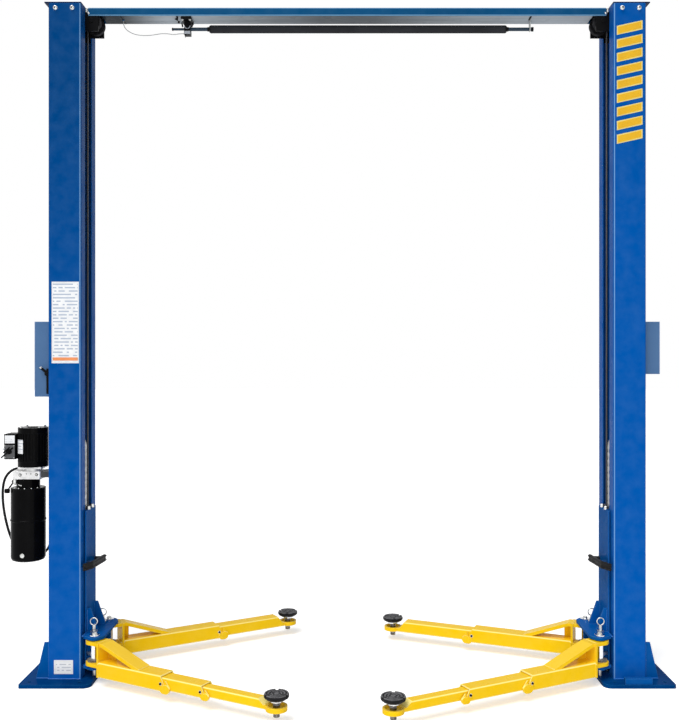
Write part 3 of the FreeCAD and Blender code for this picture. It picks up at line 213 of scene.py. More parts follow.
def painted_height_shade(tree):
    """Painted shade: tone that deepens with height, more on the left post than on the right one."""
    place = place_of(tree)
    at_top = ranged(tree, part_of(tree, place, "X"), -1.0, 1.0, 0.05, 0.75)
    fall = ranged(tree, part_of(tree, place, "Z"), 0.3, 3.2, 1.0, at_top)
    return times(tree, fall, patches(tree, 1.1, 2.0, 0.2, 0.8, 0.85, 1.0))


def painted_bend_highlight(tree):
    """Painted highlight where a rounded long edge turns between a side and a roof or floor."""
    rise = size_of(tree, normal_of(tree), "Z")
    return times(tree, ranged(tree, rise, 0.12, 0.4), ranged(tree, rise, 0.96, 0.75))


def painted_corner_highlight(tree):
    """Painted highlight line along the bent corner between a post's front or rear face and its inner lips."""
    place = place_of(tree)
    across = size_of(tree, place, "X")
    near_corner = ranged(tree, across, POST_INNER + CORNER_HIGHLIGHT_WIDTH, POST_INNER + CORNER_HIGHLIGHT_WIDTH * 0.5)
    on_face = ranged(tree, size_of(tree, place, "Y"), POST_BACK - 0.003, POST_BACK - 0.001)
    return times(tree, near_corner, on_face)


# Finishes


def enamel(name, colour, deep, edge, roughness, specular, edge_wear_and_highlight_share=0.5, drift=slow_drift, highlight_lines=()):
    """Glossy enamel with a faint orange peel, drifting tone, paler edges that are partly wear and partly a
    painted highlight, and painted highlight lines.
    """
    material, tree, shader = new_material(name)
    rounded, near_edge = edge_mask(tree, 0.0025)
    tone = mixed(tree, drift(tree), deep, colour)
    blotch = patches(tree, 14.0, 4.0, 0.35, 0.8, 0.0, 0.07)
    tone = mixed(tree, blotch, tone, edge)
    broken = patches(tree, 55.0, 3.0, 0.3, 0.6, 0.35, 1.0)
    # Paler broken edges: partly wear, partly a painted highlight.
    tone = mixed(tree, times(tree, times(tree, near_edge, broken), edge_wear_and_highlight_share), tone, edge)
    # Painted highlight lines in the pale edge colour.
    for line in highlight_lines:
        tone = mixed(tree, line(tree), tone, edge)
    scuffs = patches(tree, 9.0, 5.0, 0.35, 0.75, roughness * 0.8, roughness * 1.4)
    feed(shader, {"Base Color": tone, "Roughness": scuffs, "Specular IOR Level": specular})
    bumped(tree, shader, noise(tree, 420.0, 2.0), 0.00008, 0.4, rounded)
    return material


def paint_of(material):
    """A finish's tree and shader, and the socket that colours it."""
    shader = material.node_tree.nodes["Principled BSDF"]
    return material.node_tree, shader, shader.inputs["Base Color"].links[0].from_socket


def beam_enamel():
    """The beam's blue, with a grey underside painted as a reflection, dark at its left end and under a
    painted shadow of the foam bar.
    """
    material = enamel(
        "beam_enamel", (0.006, 0.080, 0.205), (0.003, 0.062, 0.165), (0.14, 0.32, 0.52), 0.3, 0.02, 0.6,
        highlight_lines=(painted_bend_highlight,),
    )
    tree, shader, blue = paint_of(material)
    place = place_of(tree)
    # Painted reflection on the underside: darker toward the left end, and in the middle a painted shadow of
    # the foam bar.
    painted_left_end_shade = ranged(tree, part_of(tree, place, "X"), -1.24, -0.98, 0.02, 1.0)
    painted_bar_shadow = ranged(tree, size_of(tree, place, "X"), 0.15, 0.70, 0.30, 1.0)
    painted_reflection = times(tree, painted_left_end_shade, painted_bar_shadow)
    streak = ranged(tree, noise(tree, 1.0, 3.0, stretched(tree, (1.6, 30.0, 1.0))), 0.3, 0.7, 0.75, 1.0)
    grey = mixed(tree, times(tree, painted_reflection, streak), (0.006, 0.012, 0.018), (0.42, 0.47, 0.52))
    underside = ranged(tree, part_of(tree, normal_of(tree), "Z"), -0.85, -0.97)
    feed(shader, {"Base Color": mixed(tree, underside, blue, grey)})
    return material


# Yellow enamel's tones (the pale third one also paints the highlights on its edges and bends), roughness,
# gloss and share of its edges
YELLOW_ENAMEL = ((0.95, 0.60, 0.004), (0.91, 0.56, 0.003), (1.0, 0.84, 0.28), 0.30, 0.05, 0.5)
# Bare gear of an arm: its pin in the right front quarter, its reach and its levels, in metres
GEAR_PLACE = (1.336, 0.150, 0.0)
GEAR_REACH = 0.0440
GEAR_LEVELS = (0.1181, 0.1184, 0.1302, 0.1306)


def arm_enamel():
    """The arms' yellow, with the bare teeth of the gear between the ears."""
    material = enamel("arm_enamel", *YELLOW_ENAMEL, highlight_lines=(painted_bend_highlight,))
    tree, shader, paint = paint_of(material)
    place = place_of(tree)
    level = {"X": size_of(tree, place, "X"), "Y": size_of(tree, place, "Y")}
    ends = {0: node(tree, "CombineXYZ", level).outputs["Vector"], 1: GEAR_PLACE}
    away = node(tree, "VectorMath", ends, operation="DISTANCE").outputs["Value"]
    near = ranged(tree, away, GEAR_REACH, GEAR_REACH - 0.0005)
    low, low_full, high_full, high = GEAR_LEVELS
    height = part_of(tree, place, "Z")
    between = times(tree, ranged(tree, height, low, low_full), ranged(tree, height, high, high_full))
    worn = patches(tree, 60.0, 4.0, 0.3, 0.7)
    iron = mixed(tree, worn, (0.30, 0.29, 0.27), (0.10, 0.095, 0.09))
    feed(shader, {"Base Color": mixed(tree, times(tree, near, between), paint, iron)})
    return material


def cable_steel():
    """Oiled steel rope, whose strands run slantwise."""
    material, tree, shader = new_material("cable_steel")
    values = {"Vector": stretched(tree, (150.0, 260.0, 150.0)), "Scale": 1.0, "Distortion": 0.4}
    strands = node(tree, "TexWave", values, wave_type="BANDS", bands_direction="DIAGONAL").outputs["Fac"]
    tone = mixed(tree, strands, (0.012, 0.012, 0.014), (0.11, 0.11, 0.115))
    gloss = patches(tree, 30.0, 3.0, 0.3, 0.7, 0.3, 0.5)
    feed(shader, {"Base Color": tone, "Metallic": 0.5, "Roughness": gloss})
    bumped(tree, shader, strands, 0.0008, 0.8)
    return material


def foam_skin():
    """Closed cell foam with small pits."""
    material, tree, shader = new_material("foam")
    values = {"Vector": place_of(tree), "Scale": 420.0}
    cells = node(tree, "TexVoronoi", values, feature="F1").outputs["Distance"]
    drift = patches(tree, 7.0, 4.0, 0.3, 0.75)
    tone = mixed(tree, drift, (0.012, 0.013, 0.016), (0.026, 0.028, 0.034))
    tone = mixed(tree, ranged(tree, cells, 0.0, 0.6), (0.008, 0.008, 0.010), tone)
    feed(shader, {"Base Color": tone, "Roughness": 0.85, "Specular IOR Level": 0.25})
    bumped(tree, shader, cells, 0.0006, 0.8)
    return material


def ruled_paper(name, ink, line_pitch, word_pitch, share):
    """White plate with faint ruled blocks where writing would be."""
    material, tree, shader = new_material(name)
    place = place_of(tree)
    row = times(tree, part_of(tree, place, "Z"), 1.0 / line_pitch)
    column = times(tree, part_of(tree, place, "X"), 1.0 / word_pitch)
    on_line = calculated(tree, "LESS_THAN", calculated(tree, "FRACT", row), 0.38)
    where = node(tree, "CombineXYZ", {"X": column, "Y": calculated(tree, "FLOOR", row)}).outputs["Vector"]
    cell = node(tree, "VectorMath", {0: where}, operation="FLOOR").outputs[0]
    chance = node(tree, "TexWhiteNoise", {"Vector": cell}).outputs["Value"]
    word = times(tree, on_line, calculated(tree, "LESS_THAN", chance, share))
    fade = patches(tree, 30.0, 3.0, 0.3, 0.8)
    paper = mixed(tree, fade, (0.86, 0.87, 0.88), (0.74, 0.76, 0.79))
    feed(shader, {"Base Color": mixed(tree, times(tree, word, 0.8), paper, ink), "Roughness": 0.38})
    bumped(tree, shader, noise(tree, 300.0, 2.0), 0.00004, 0.4)
    return material


# Skins. fade: scale and detail of the noise that mixes the two tones, and its range.
# edge: radius of the rubbed edges, which take the first tone or, where worn, the second one; on the rubbers
# that paler second tone is partly wear and partly a painted highlight.
# gloss: scale and detail of the roughness' noise, and its least and most share.
# relief: scale and detail of the bump's noise, its depth in metres and its strength.
METAL = {
    "fade": (40.0, 4.0, 0.35, 0.75), "edge": 0.001, "gloss": (1.0, 3.0, 0.8, 1.4),
    "relief": (1.0, 3.0, 0.00005, 0.4), "grain": (600.0, 600.0, 60.0), "metallic": 1.0,
}
CAST_METAL = {
    "fade": (35.0, 4.0, 0.3, 0.8), "edge": 0.0015, "gloss": (900.0, 3.0, 0.85, 1.2),
    "relief": (900.0, 3.0, 0.0001, 0.6), "metallic": 0.35,
}
# Rubbers: their paler edges are partly wear and partly a painted highlight.
SOFT = {
    "fade": (26.0, 5.0, 0.4, 0.75, 0.0, 0.6), "edge": 0.002, "gloss": (60.0, 3.0, 0.85, 1.15),
    "relief": (180.0, 4.0, 0.0003, 0.7), "worn": True, "specular": 0.12,
}
HOSE_SOFT = SOFT | {"relief": (320.0, 4.0, 0.0002, 0.7)}
PAD_SOFT = SOFT | {"relief": (240.0, 4.0, 0.0002, 0.7)}
PLASTIC = {
    "fade": (22.0, 3.0, 0.3, 0.8), "edge": 0.001, "gloss": (70.0, 3.0, 0.85, 1.2),
    "relief": (700.0, 2.0, 0.00008, 0.5),
}
PRINT = {"fade": (18.0, 4.0, 0.3, 0.8), "relief": (350.0, 2.0, 0.00004, 0.4)}


def skin(
    name, colour, second, roughness, fade, relief, edge=None, gloss=None, grain=(1.0, 1.0, 1.0), worn=False,
    metallic=0.0, specular=0.5,
):
    """A finish of two tones with rubbed edges, on the rubbers partly a painted highlight, uneven gloss and a
    fine relief.
    """
    material, tree, shader = new_material(name)
    tone = mixed(tree, patches(tree, *fade), colour, second)
    normal = None
    if edge is not None:
        normal, near_edge = edge_mask(tree, edge)
        tone = mixed(tree, near_edge, tone, second if worn else colour)
    along_grain = stretched(tree, grain)
    if gloss is not None:
        scale, detail, least, most = gloss
        uneven = noise(tree, scale, detail, along_grain)
        roughness = ranged(tree, uneven, 0.3, 0.7, roughness * least, roughness * most)
    feed(shader, {"Base Color": tone, "Roughness": roughness})
    feed(shader, {"Metallic": metallic, "Specular IOR Level": specular})
    scale, detail, depth, strength = relief
    bumped(tree, shader, noise(tree, scale, detail, along_grain), depth, strength, normal)
    return material


# Posts' blue: its tone deepens upward in a painted shade, and its inner corners carry a painted highlight
# line.
BLUE = enamel(
    "blue_enamel", (0.0, 0.096, 0.43), (0.0, 0.050, 0.195), (0.20, 0.40, 0.66), 0.30, 0.012, 0.35,
    drift=painted_height_shade, highlight_lines=(painted_corner_highlight,),
)
LOW_BLUE = enamel("low_blue_enamel", (0.0, 0.090, 0.36), (0.0, 0.070, 0.28), (0.14, 0.36, 0.70), 0.28, 0.003)
FOOT_BLUE = enamel(
    "foot_blue_enamel", (0.0, 0.060, 0.24), (0.0, 0.020, 0.10), (0.03, 0.22, 0.50), 0.25, 0.003, 0.6,
)
NAVY = enamel("navy_enamel", (0.0, 0.012, 0.06), (0.0, 0.006, 0.035), (0.01, 0.06, 0.18), 0.35, 0.03)
# A glossier copy of the posts' blue whose paler tone paints a highlight along the beads.
LIT_WELD_BLUE = enamel("weld_enamel_painted_highlight", (0.0, 0.11, 0.46), (0.0, 0.08, 0.36), (0.20, 0.45, 0.80), 0.22, 0.25)
BEAM_BLUE = beam_enamel()
YELLOW = enamel("yellow_enamel", *YELLOW_ENAMEL, highlight_lines=(painted_bend_highlight,))
ARM_YELLOW = arm_enamel()
BLACK = enamel(
    "black_enamel", (0.003, 0.003, 0.0035), (0.0015, 0.0015, 0.0015), (0.02, 0.02, 0.022), 0.20, 0.035,
)
SATIN = enamel("satin_black", (0.004, 0.004, 0.005), (0.002, 0.002, 0.002), (0.02, 0.02, 0.022), 0.45, 0.06)
SLATE = enamel("slate_enamel", (0.035, 0.060, 0.090), (0.020, 0.034, 0.055), (0.10, 0.15, 0.20), 0.35, 0.10)
COVER_BLUE = enamel("cover_blue", (0.085, 0.175, 0.335), (0.065, 0.14, 0.285), (0.18, 0.30, 0.52), 0.38, 0.06)
COVER_EDGE = enamel("cover_edge", (0.20, 0.30, 0.52), (0.16, 0.25, 0.46), (0.32, 0.44, 0.66), 0.38, 0.10)
# Its pale edges are partly wear and partly a painted highlight.
BRACKET_GREY = enamel(
    "bracket_grey", (0.085, 0.090, 0.095), (0.050, 0.053, 0.056), (0.50, 0.51, 0.52), 0.35, 0.06, 0.8,
)
CHROME = skin("chrome", (0.86, 0.87, 0.88), (0.62, 0.63, 0.64), 0.13, **METAL)
ZINC = skin("zinc_plate", (0.66, 0.67, 0.66), (0.42, 0.42, 0.40), 0.30, **METAL)
DARK_IRON = skin("dark_iron", (0.035, 0.035, 0.038), (0.015, 0.015, 0.017), 0.5, **METAL)
STEEL = skin("machined_steel", (0.42, 0.43, 0.44), (0.22, 0.22, 0.22), 0.34, **METAL)
SCREW_STEEL = skin("screw_steel", (0.30, 0.30, 0.31), (0.06, 0.06, 0.065), 0.28, **METAL)
CAST = skin("cast_alloy", (0.82, 0.82, 0.82), (0.60, 0.60, 0.60), 0.34, **CAST_METAL)
CABLE = cable_steel()
FOAM = foam_skin()
RUBBER = skin("moulded_rubber", (0.007, 0.007, 0.008), (0.022, 0.022, 0.024), 0.55, **SOFT)
HOSE = skin("hose_rubber", (0.006, 0.006, 0.007), (0.02, 0.02, 0.022), 0.40, **HOSE_SOFT)
PAD_RUBBER = skin("pad_rubber", (0.004, 0.004, 0.005), (0.020, 0.020, 0.022), 0.42, **PAD_SOFT)
# A paler copy of the pad rubber: a painted highlight on the ribs and the boss.
LIT_RIB_RUBBER = skin("rib_rubber_painted_highlight", (0.050, 0.050, 0.054), (0.22, 0.22, 0.23), 0.42, **PAD_SOFT)
LEAD = skin("grey_lead", (0.42, 0.43, 0.44), (0.30, 0.31, 0.32), 0.4, **PLASTIC)
SLIDE = skin("slide_plastic", (0.70, 0.69, 0.64), (0.52, 0.50, 0.45), 0.45, **PLASTIC)
BOX_GREY = skin("box_grey", (0.085, 0.087, 0.092), (0.055, 0.056, 0.060), 0.45, **PLASTIC)
BOX_PALE = skin("pale_grey", (0.42, 0.45, 0.50), (0.32, 0.35, 0.40), 0.4, **PLASTIC)
WHITE = skin("white_plastic", (0.82, 0.83, 0.84), (0.70, 0.71, 0.72), 0.3, **PLASTIC)
LABEL_WHITE = skin("label_white", (0.80, 0.81, 0.83), (0.72, 0.74, 0.77), 0.35, **PRINT)
ORANGE = skin("orange_band", (0.85, 0.30, 0.10), (0.70, 0.22, 0.08), 0.35, **PRINT)
STRIPE = skin("stripe_yellow", (0.78, 0.44, 0.004), (0.70, 0.38, 0.004), 0.35, **PRINT)
STRIPE_EDGE = skin("stripe_edge", (0.80, 0.66, 0.20), (0.70, 0.58, 0.18), 0.35, **PRINT)
PLACARD = ruled_paper("placard", (0.28, 0.36, 0.50), 0.0180, 0.0110, 0.66)
SMALL_PLATE = ruled_paper("small_plate", (0.42, 0.45, 0.52), 0.0155, 0.0120, 0.62)
WHITE_PLATE = ruled_paper("white_plate", (0.62, 0.64, 0.67), 0.0110, 0.0070, 0.4)


# Camera and cords


def make_camera():
    """Level camera at the photograph's place, with its small shift."""
    data = bpy.data.cameras.new("camera")
    camera = placed("camera", data)
    data.sensor_fit = "HORIZONTAL"
    data.sensor_width = SENSOR_WIDTH
    data.lens = FOCAL_PIXELS * SENSOR_WIDTH / IMAGE_WIDTH
    data.shift_x = -(CENTRE_X_PIXEL - IMAGE_WIDTH / 2.0) / IMAGE_WIDTH
    data.shift_y = -(IMAGE_HEIGHT / 2.0 - HORIZON_PIXEL) / IMAGE_WIDTH
    camera.location = (0.0, -CAMERA_DISTANCE, CAMERA_HEIGHT)
    camera.rotation_euler = (pi / 2.0, 0.0, 0.0)
    scene.camera = camera


def cord_curve(name, route, diameter, material, node_name):
    """Smooth round cord along its route."""
    curve = bpy.data.curves.new(name, "CURVE")
    curve.dimensions = "3D"
    spline = curve.splines.new("NURBS")
    spline.points.add(len(route) - 1)
    for point, place in zip(spline.points, route):
        point.co = (*place, 1.0)
    spline.order_u = 3
    spline.use_endpoint_u = True
    spline.resolution_u = 10
    curve.bevel_depth = diameter / 2.0
    curve.bevel_resolution = 5
    curve.use_fill_caps = True
    curve.materials.append(material)
    cord = placed(name, curve)
    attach(cord, "frame")
    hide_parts(node_name)
    return cord


make_camera()
hose = cord_curve("oil_hose", HOSE_ROUTE, HOSE_DIAMETER, HOSE, "power_unit_hose")
wire = cord_curve("switch_wire", WIRE_ROUTE, WIRE_DIAMETER, LEAD, "limit_switch_wire")


# Mesh building


def piece(name, material, slot, parts, body="frame", smooth_angle=35.0, matrix=None):
    """One piece on a body, from parts that each name a builder and its values."""
    shape = bmesh.new()
    # Boxes come last, as what is built after a bevel changes its order from run to run
    for builder, *values in sorted(parts, key=lambda part: part[0] is box):
        builder(shape, *values)
    if matrix is not None:
        bmesh.ops.transform(shape, matrix=matrix, verts=shape.verts[:])
    bmesh.ops.recalc_face_normals(shape, faces=shape.faces[:])
    mesh = bpy.data.meshes.new(name)
    shape.to_mesh(mesh)
    shape.free()
    mesh.materials.append(material)
    for polygon in mesh.polygons:
        polygon.use_smooth = True
    mesh.set_sharp_from_angle(angle=radians(smooth_angle))
    made = placed(name, mesh)
    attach(made, body)
    return made


def facing(direction):
    """Rotation that takes the Z axis to a direction."""
    return Vector(direction).normalized().to_track_quat("Z", "Y").to_matrix().to_4x4()


def middle_of(low, high):
    """Middle of a box's footprint."""
    return (low.x + high.x) / 2.0, (low.y + high.y) / 2.0


def round_steps(count):
    """Angles of equal steps round a whole turn."""
    return [TURN * step / count for step in range(count)]


def round_place(centre, radius, angle, z):
    """Point on a level circle."""
    return Vector((centre[0] + radius * cos(angle), centre[1] + radius * sin(angle), z))


def loop_at(shape, points):
    """Vertices at points, in order."""
    return [shape.verts.new(point) for point in points]


def round_loop(shape, centre, radii, z):
    """Level loop of vertices about an upright axis, with a radius for each step."""
    steps = zip(radii, round_steps(len(radii)))
    return loop_at(shape, [round_place(centre, radius, angle, z) for radius, angle in steps])


def bridge(shape, loops):
    """Faces between each loop of vertices and the one after it."""
    for first, second in zip(loops, loops[1:]):
        for step in range(len(first)):
            following = (step + 1) % len(first)
            shape.faces.new((first[step], first[following], second[following], second[step]))


def cap(shape, loops):
    """Faces over the first and the last loop."""
    shape.faces.new(loops[0][::-1])
    shape.faces.new(loops[-1])


def cone(shape, start, end, radius, end_radius=None, sides=24):
    """A round or many sided bar between two points."""
    start = Vector(start)
    end = Vector(end)
    bmesh.ops.create_cone(
        shape, cap_ends=True, segments=sides, radius1=radius,
        radius2=radius if end_radius is None else end_radius, depth=(end - start).length,
        matrix=Matrix.Translation((start + end) / 2.0) @ facing(end - start),
    )


def stud(shape, place, axis, start, end, radius, end_radius, sides=24):
    """A round bar between two distances along an axis through a place."""
    place = Vector(place)
    cone(shape, place + axis * start, place + axis * end, radius, end_radius, sides)


def ball(shape, centre, radius):
    """A ball of small triangles."""
    bmesh.ops.create_icosphere(shape, subdivisions=3, radius=radius, matrix=Matrix.Translation(centre))


def box(shape, low, high, bevel=0.0):
    """A box between two corners, with rounded edges."""
    low = Vector(low)
    high = Vector(high)
    place = Matrix.Translation((low + high) / 2.0) @ Matrix.Diagonal((*(high - low), 1.0))
    made = bmesh.ops.create_cube(shape, size=1.0, matrix=place)
    if bevel > 0.0:
        edges = dict.fromkeys(edge for vertex in made["verts"] for edge in vertex.link_edges)
        bmesh.ops.bevel(shape, geom=list(edges), offset=bevel, segments=2, profile=0.7, affect="EDGES")


WASHER_SHARE = 0.12


def bolt(shape, centre, axis, across, height, washer=True):
    """Hexagon head with a chamfered crown, on a washer."""
    seat = Vector(centre)
    axis = Vector(axis).normalized()
    radius = across / sqrt(3.0)
    if washer:
        thickness = across * WASHER_SHARE
        cone(shape, seat, seat + axis * thickness, across * 0.68, sides=28)
        seat = seat + axis * thickness
    crown = seat + axis * height * 0.82
    cone(shape, seat, crown, radius, sides=6)
    cone(shape, crown, seat + axis * height, radius, across * 0.42, sides=6)


WELD_RIPPLE = 0.006
WELD_SIDES = 8


def weld(shape, start, end, radius):
    """Weld bead with overlapping ripples along a straight seam."""
    start = Vector(start)
    end = Vector(end)
    count = 2 * max(3, int((end - start).length / WELD_RIPPLE))
    turned = facing(end - start).to_3x3()
    rings = []
    for index in range(count + 1):
        swell = 1.0 if index % 2 else 0.82
        if index in (0, count):
            swell = 0.4
        centre = start.lerp(end, index / count)
        spokes = [Vector((cos(angle), sin(angle), 0.0)) for angle in round_steps(WELD_SIDES)]
        rings.append(loop_at(shape, [centre + turned @ (spoke * radius * swell) for spoke in spokes]))
    bridge(shape, rings)
    cap(shape, rings)


def slab(shape, points, depth):
    """A flat outline pulled along a vector."""
    loops = [loop_at(shape, points), loop_at(shape, [Vector(point) + Vector(depth) for point in points])]
    cap(shape, loops)
    bridge(shape, loops)


def ring_nut(shape, centre, across, bore, height):
    """Hexagon nut with a round bore, standing on a level face."""
    z = centre[2]
    half = TURN / 12.0
    flats = [across / 2.0 / cos((angle + half) % (2.0 * half) - half) for angle in round_steps(24)]
    hole = [bore] * len(flats)
    corners = ((z, flats), (z + height, flats), (z + height, hole), (z, hole))
    loops = [round_loop(shape, centre, radii, level) for level, radii in corners]
    bridge(shape, loops + loops[:1])


def ring(shape, centre, axis, radius, wire, steps=32, sides=8, start=0.0, turn=TURN):
    """Round wire bent into a ring, or part of one, about an axis."""
    whole = turn >= TURN - 1e-6
    turned = facing(axis).to_3x3()
    centre = Vector(centre)
    upward = turned @ UP
    rings = []
    for step in range(steps if whole else steps + 1):
        angle = start + turn * step / steps
        outward = turned @ Vector((cos(angle), sin(angle), 0.0))
        rings.append(loop_at(shape, [
            centre + outward * (radius + wire * cos(spin)) + upward * wire * sin(spin)
            for spin in round_steps(sides)
        ]))
    bridge(shape, rings + rings[:1] if whole else rings)
    if not whole:
        cap(shape, rings)


def lathe(shape, centre, profile, steps=72, limits=None):
    """Closed form turned about an upright axis; limits hold its radius in at each step."""
    low, high = loop_at(shape, [(*centre, profile[0][1]), (*centre, profile[-1][1])])
    limits = limits or [inf] * steps
    loops = [round_loop(shape, centre, [min(radius, limit) for limit in limits], z) for radius, z in profile]
    bridge(shape, loops)
    for step in range(steps):
        following = (step + 1) % steps
        shape.faces.new((low, loops[0][following], loops[0][step]))
        shape.faces.new((high, loops[-1][step], loops[-1][following]))


def sector(shape, centre, radii, angles, levels, steps, taper=0.0008):
    """Raised block between two radii and two angles, a little narrower at its top."""
    rings = []
    for level, inset in ((levels[0], 0.0), (levels[1] - taper, 0.0), (levels[1], taper)):
        points = []
        for radius, order in ((radii[0] + inset, 1), (radii[1] - inset, -1)):
            spread = inset / radius
            for step in range(steps + 1)[::order]:
                angle = angles[0] + spread + (angles[1] - angles[0] - 2.0 * spread) * step / steps
                points.append(round_place(centre, radius, angle, level))
        rings.append(loop_at(shape, points))
    bridge(shape, rings)
    last = 2 * steps + 1
    for loop, order in ((rings[0], -1), (rings[-1], 1)):
        for step in range(steps):
            shape.faces.new((loop[step], loop[step + 1], loop[last - 1 - step], loop[last - step])[::order])


# Finish of the solids that are kept


# Each finish, and how the names of its solids start
FINISHES = (
    (BLUE, "column"), (NAVY, "top_caps"), (BEAM_BLUE, "overhead_beam"), (FOOT_BLUE, "base_plate"),
    (LOW_BLUE, "base_gussets floor_stop carriage"), (COVER_BLUE, "lock_cover"), (SLATE, "shutoff_rod"),
    (BLACK, "power_unit_tank power_unit_motor"), (BRACKET_GREY, "power_unit_bracket"),
    (SATIN, "beam_brackets lift_cylinders power_unit_switch_box lowering_lever limit_switch release_handle"),
    (YELLOW, "front_arm rear_arm"), (ARM_YELLOW, "front_arm_outer rear_arm_outer"),
    (STEEL, "bottom_sheaves chain_rollers lift_chains"), (DARK_IRON, "top_sheaves"),
    (CABLE, "equaliser_cables"), (ZINC, "shutoff_bar_hanger arm_restraint"), (CHROME, "arm_pins"),
    (CAST, "power_unit_manifold"), (SCREW_STEEL, "front_pad_screw rear_pad_screw"),
    (RUBBER, "door_guard front_pad rear_pad"), (SLIDE, "slide_blocks"), (FOAM, "shutoff_foam"),
)


def finish_solids():
    """Give each solid the finish with the longest start of its name."""
    finishes = {start: material for material, starts in FINISHES for start in starts.split()}
    for name, solid in frame["nodes"].items():
        start = max((start for start in finishes if name.startswith(start)), key=len, default=None)
        if start is not None:
            solid.data.materials.clear()
            solid.data.materials.append(finishes[start])


finish_solids()


# Posts


HEAD_BOLT_DROP = 0.026
HEAD_BOLT_INSETS = (0.047, 0.136)
HEAD_BOLT_ACROSS = 0.017
HEAD_BOLT_HEIGHT = 0.009
POST_WELD = 0.0045
GUSSET_WELD = 0.0035
GUSSET_INSET = 0.012
SKIN = 0.0004


def head_bolts():
    """Two bolts at the top of each post's front and rear faces, with dark hexagons painted as the shade in
    their sockets.
    """
    bolts = []
    socket_shades = []
    head = HEAD_BOLT_HEIGHT + HEAD_BOLT_ACROSS * WASHER_SHARE
    for sign in SIDES.values():
        for inset in HEAD_BOLT_INSETS:
            for y, way in ((POST_FRONT, -DEEP), (POST_BACK, DEEP)):
                place = Vector((sign * (POST_INNER + inset), y, POST_TOP - HEAD_BOLT_DROP))
                bolts.append((bolt, place, way, HEAD_BOLT_ACROSS, HEAD_BOLT_HEIGHT))
                # A dark hexagon on each head stands in for the shade inside its socket.
                radius = HEAD_BOLT_ACROSS * 0.33
                socket_shades.append((stud, place, way, head - 0.001, head + 0.0002, radius, radius, 6))
    piece("head_bolts", ZINC, "bare_steel", bolts)
    piece("head_bolt_socket_shades", SATIN, "black_paint", socket_shades)


def post_welds():
    """Beads round the foot of each post and along its gussets."""
    beads = []
    foot, gusset_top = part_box("base_gussets")[1].xz
    for sign in SIDES.values():
        outer = sign * POST_OUTER
        for y in (POST_FRONT, POST_BACK):
            beads.append((weld, (outer, y, PLATE_TOP), (sign * POST_INNER, y, PLATE_TOP), POST_WELD))
        beads.append((weld, (outer, POST_FRONT, PLATE_TOP), (outer, POST_BACK, PLATE_TOP), POST_WELD))
    for sign in SIDES.values():
        outer = sign * POST_OUTER
        for y in (POST_FRONT + GUSSET_INSET, POST_BACK - GUSSET_INSET):
            beads.append((weld, (sign * foot, y, PLATE_TOP), (outer, y, PLATE_TOP), GUSSET_WELD))
            beads.append((weld, (outer, y, PLATE_TOP + 0.01), (outer, y, gusset_top), GUSSET_WELD))
    piece("post_welds", LIT_WELD_BLUE, "blue_paint", beads)


# Placards: left, right, low and high edges, and the width of the white margin
TALL_PLACARD = (-1.565, -1.421, 1.691, 2.123, 0.0065)
FOOT_PLACARD = (-1.553, -1.452, 0.045, 0.119, 0.0110)
BAND = (-1.560, -1.426, 1.705, 1.722)


def sheet(left, right, low, high, front, back, bevel=SKIN):
    """A thin plate on the posts' front face, between two layers of skin."""
    return (box, (left, POST_FRONT - front * SKIN, low), (right, POST_FRONT - back * SKIN, high), bevel)


def placards():
    """Blank plates on the left post and its base, and an orange band on the upper one."""
    piece("tall_placard", PLACARD, "blue_paint", [sheet(*TALL_PLACARD[:4], 2, 0)])
    piece("placard_band", ORANGE, "blue_paint", [sheet(*BAND, 3, 1)])
    piece("foot_placard", SMALL_PLATE, "blue_paint", [sheet(*FOOT_PLACARD[:4], 2, 0)])
    margins = []
    for left, right, low, high, edge in (TALL_PLACARD, FOOT_PLACARD):
        margins += [
            sheet(left, right, high - edge, high, 3, 0, SKIN / 2),
            sheet(left, right, low, low + edge, 3, 0, SKIN / 2),
            sheet(left, left + edge, low + edge, high - edge, 3, 0, SKIN / 2),
            sheet(right - edge, right, low + edge, high - edge, 3, 0, SKIN / 2),
        ]
    piece("placard_margins", LABEL_WHITE, "blue_paint", margins)


STRIPE_LOW = 2.853
STRIPE_HIGH = 3.502
STRIPE_COUNT = 9
STRIPE_LEFT = 1.428
STRIPE_RIGHT = 1.564
STRIPE_SLANT = 0.030
STRIPE_BORDER = 0.006


def post_stripes(name, material, inset, lift):
    """Stack of slanted bars on the right post's front."""
    pitch = (STRIPE_HIGH - STRIPE_LOW) / STRIPE_COUNT
    left = STRIPE_LEFT + inset
    right = STRIPE_RIGHT - inset
    face = POST_FRONT - lift
    bars = []
    for index in range(STRIPE_COUNT):
        low = STRIPE_LOW + pitch * index + inset
        high = STRIPE_LOW + pitch * (index + 0.5) + 2.0 * STRIPE_BORDER - inset
        outline = [
            (left, face, low), (right, face, low + STRIPE_SLANT),
            (right, face, high + STRIPE_SLANT), (left, face, high),
        ]
        bars.append((slab, outline, (0.0, -SKIN, 0.0)))
    piece(name, material, "yellow_paint", bars)


head_bolts()
post_welds()
placards()
post_stripes("post_stripe_borders", STRIPE_EDGE, 0.0, 0.0)
post_stripes("post_stripes", STRIPE, STRIPE_BORDER, SKIN)


# Arms, in their own axes: the pin at the origin and X along the arm


TUBE = {"half": 0.050, "low": 0.054, "height": 0.080, "skin": 0.0062, "plate_top": 0.113}
INNER_TUBE = {"half": 0.0415, "low": 0.0613, "height": 0.063, "skin": 0.0062, "plate_top": 0.105}
FRONT_TUBE_END = 0.510
REAR_TUBE_END = 0.665
MIDDLE_ENDS = {"left": 0.750, "right": 0.876}
LUG_RADIUS = 0.0235
LUG_OUT = 0.010
LUG_BACK = 0.006
LUG_DROP = 0.0065
LUG_PROUD = 0.0030
LUG_RIM = 0.0042
LUG_CHAMFER = 0.0014
LUG_SIDES = 40
# Cheek behind a lug: where its slope starts, in shares of the lug's radius
CHEEK_REACH = 0.97
CHEEK_RISE = 0.24
FOOT_DEPTH = 0.0034
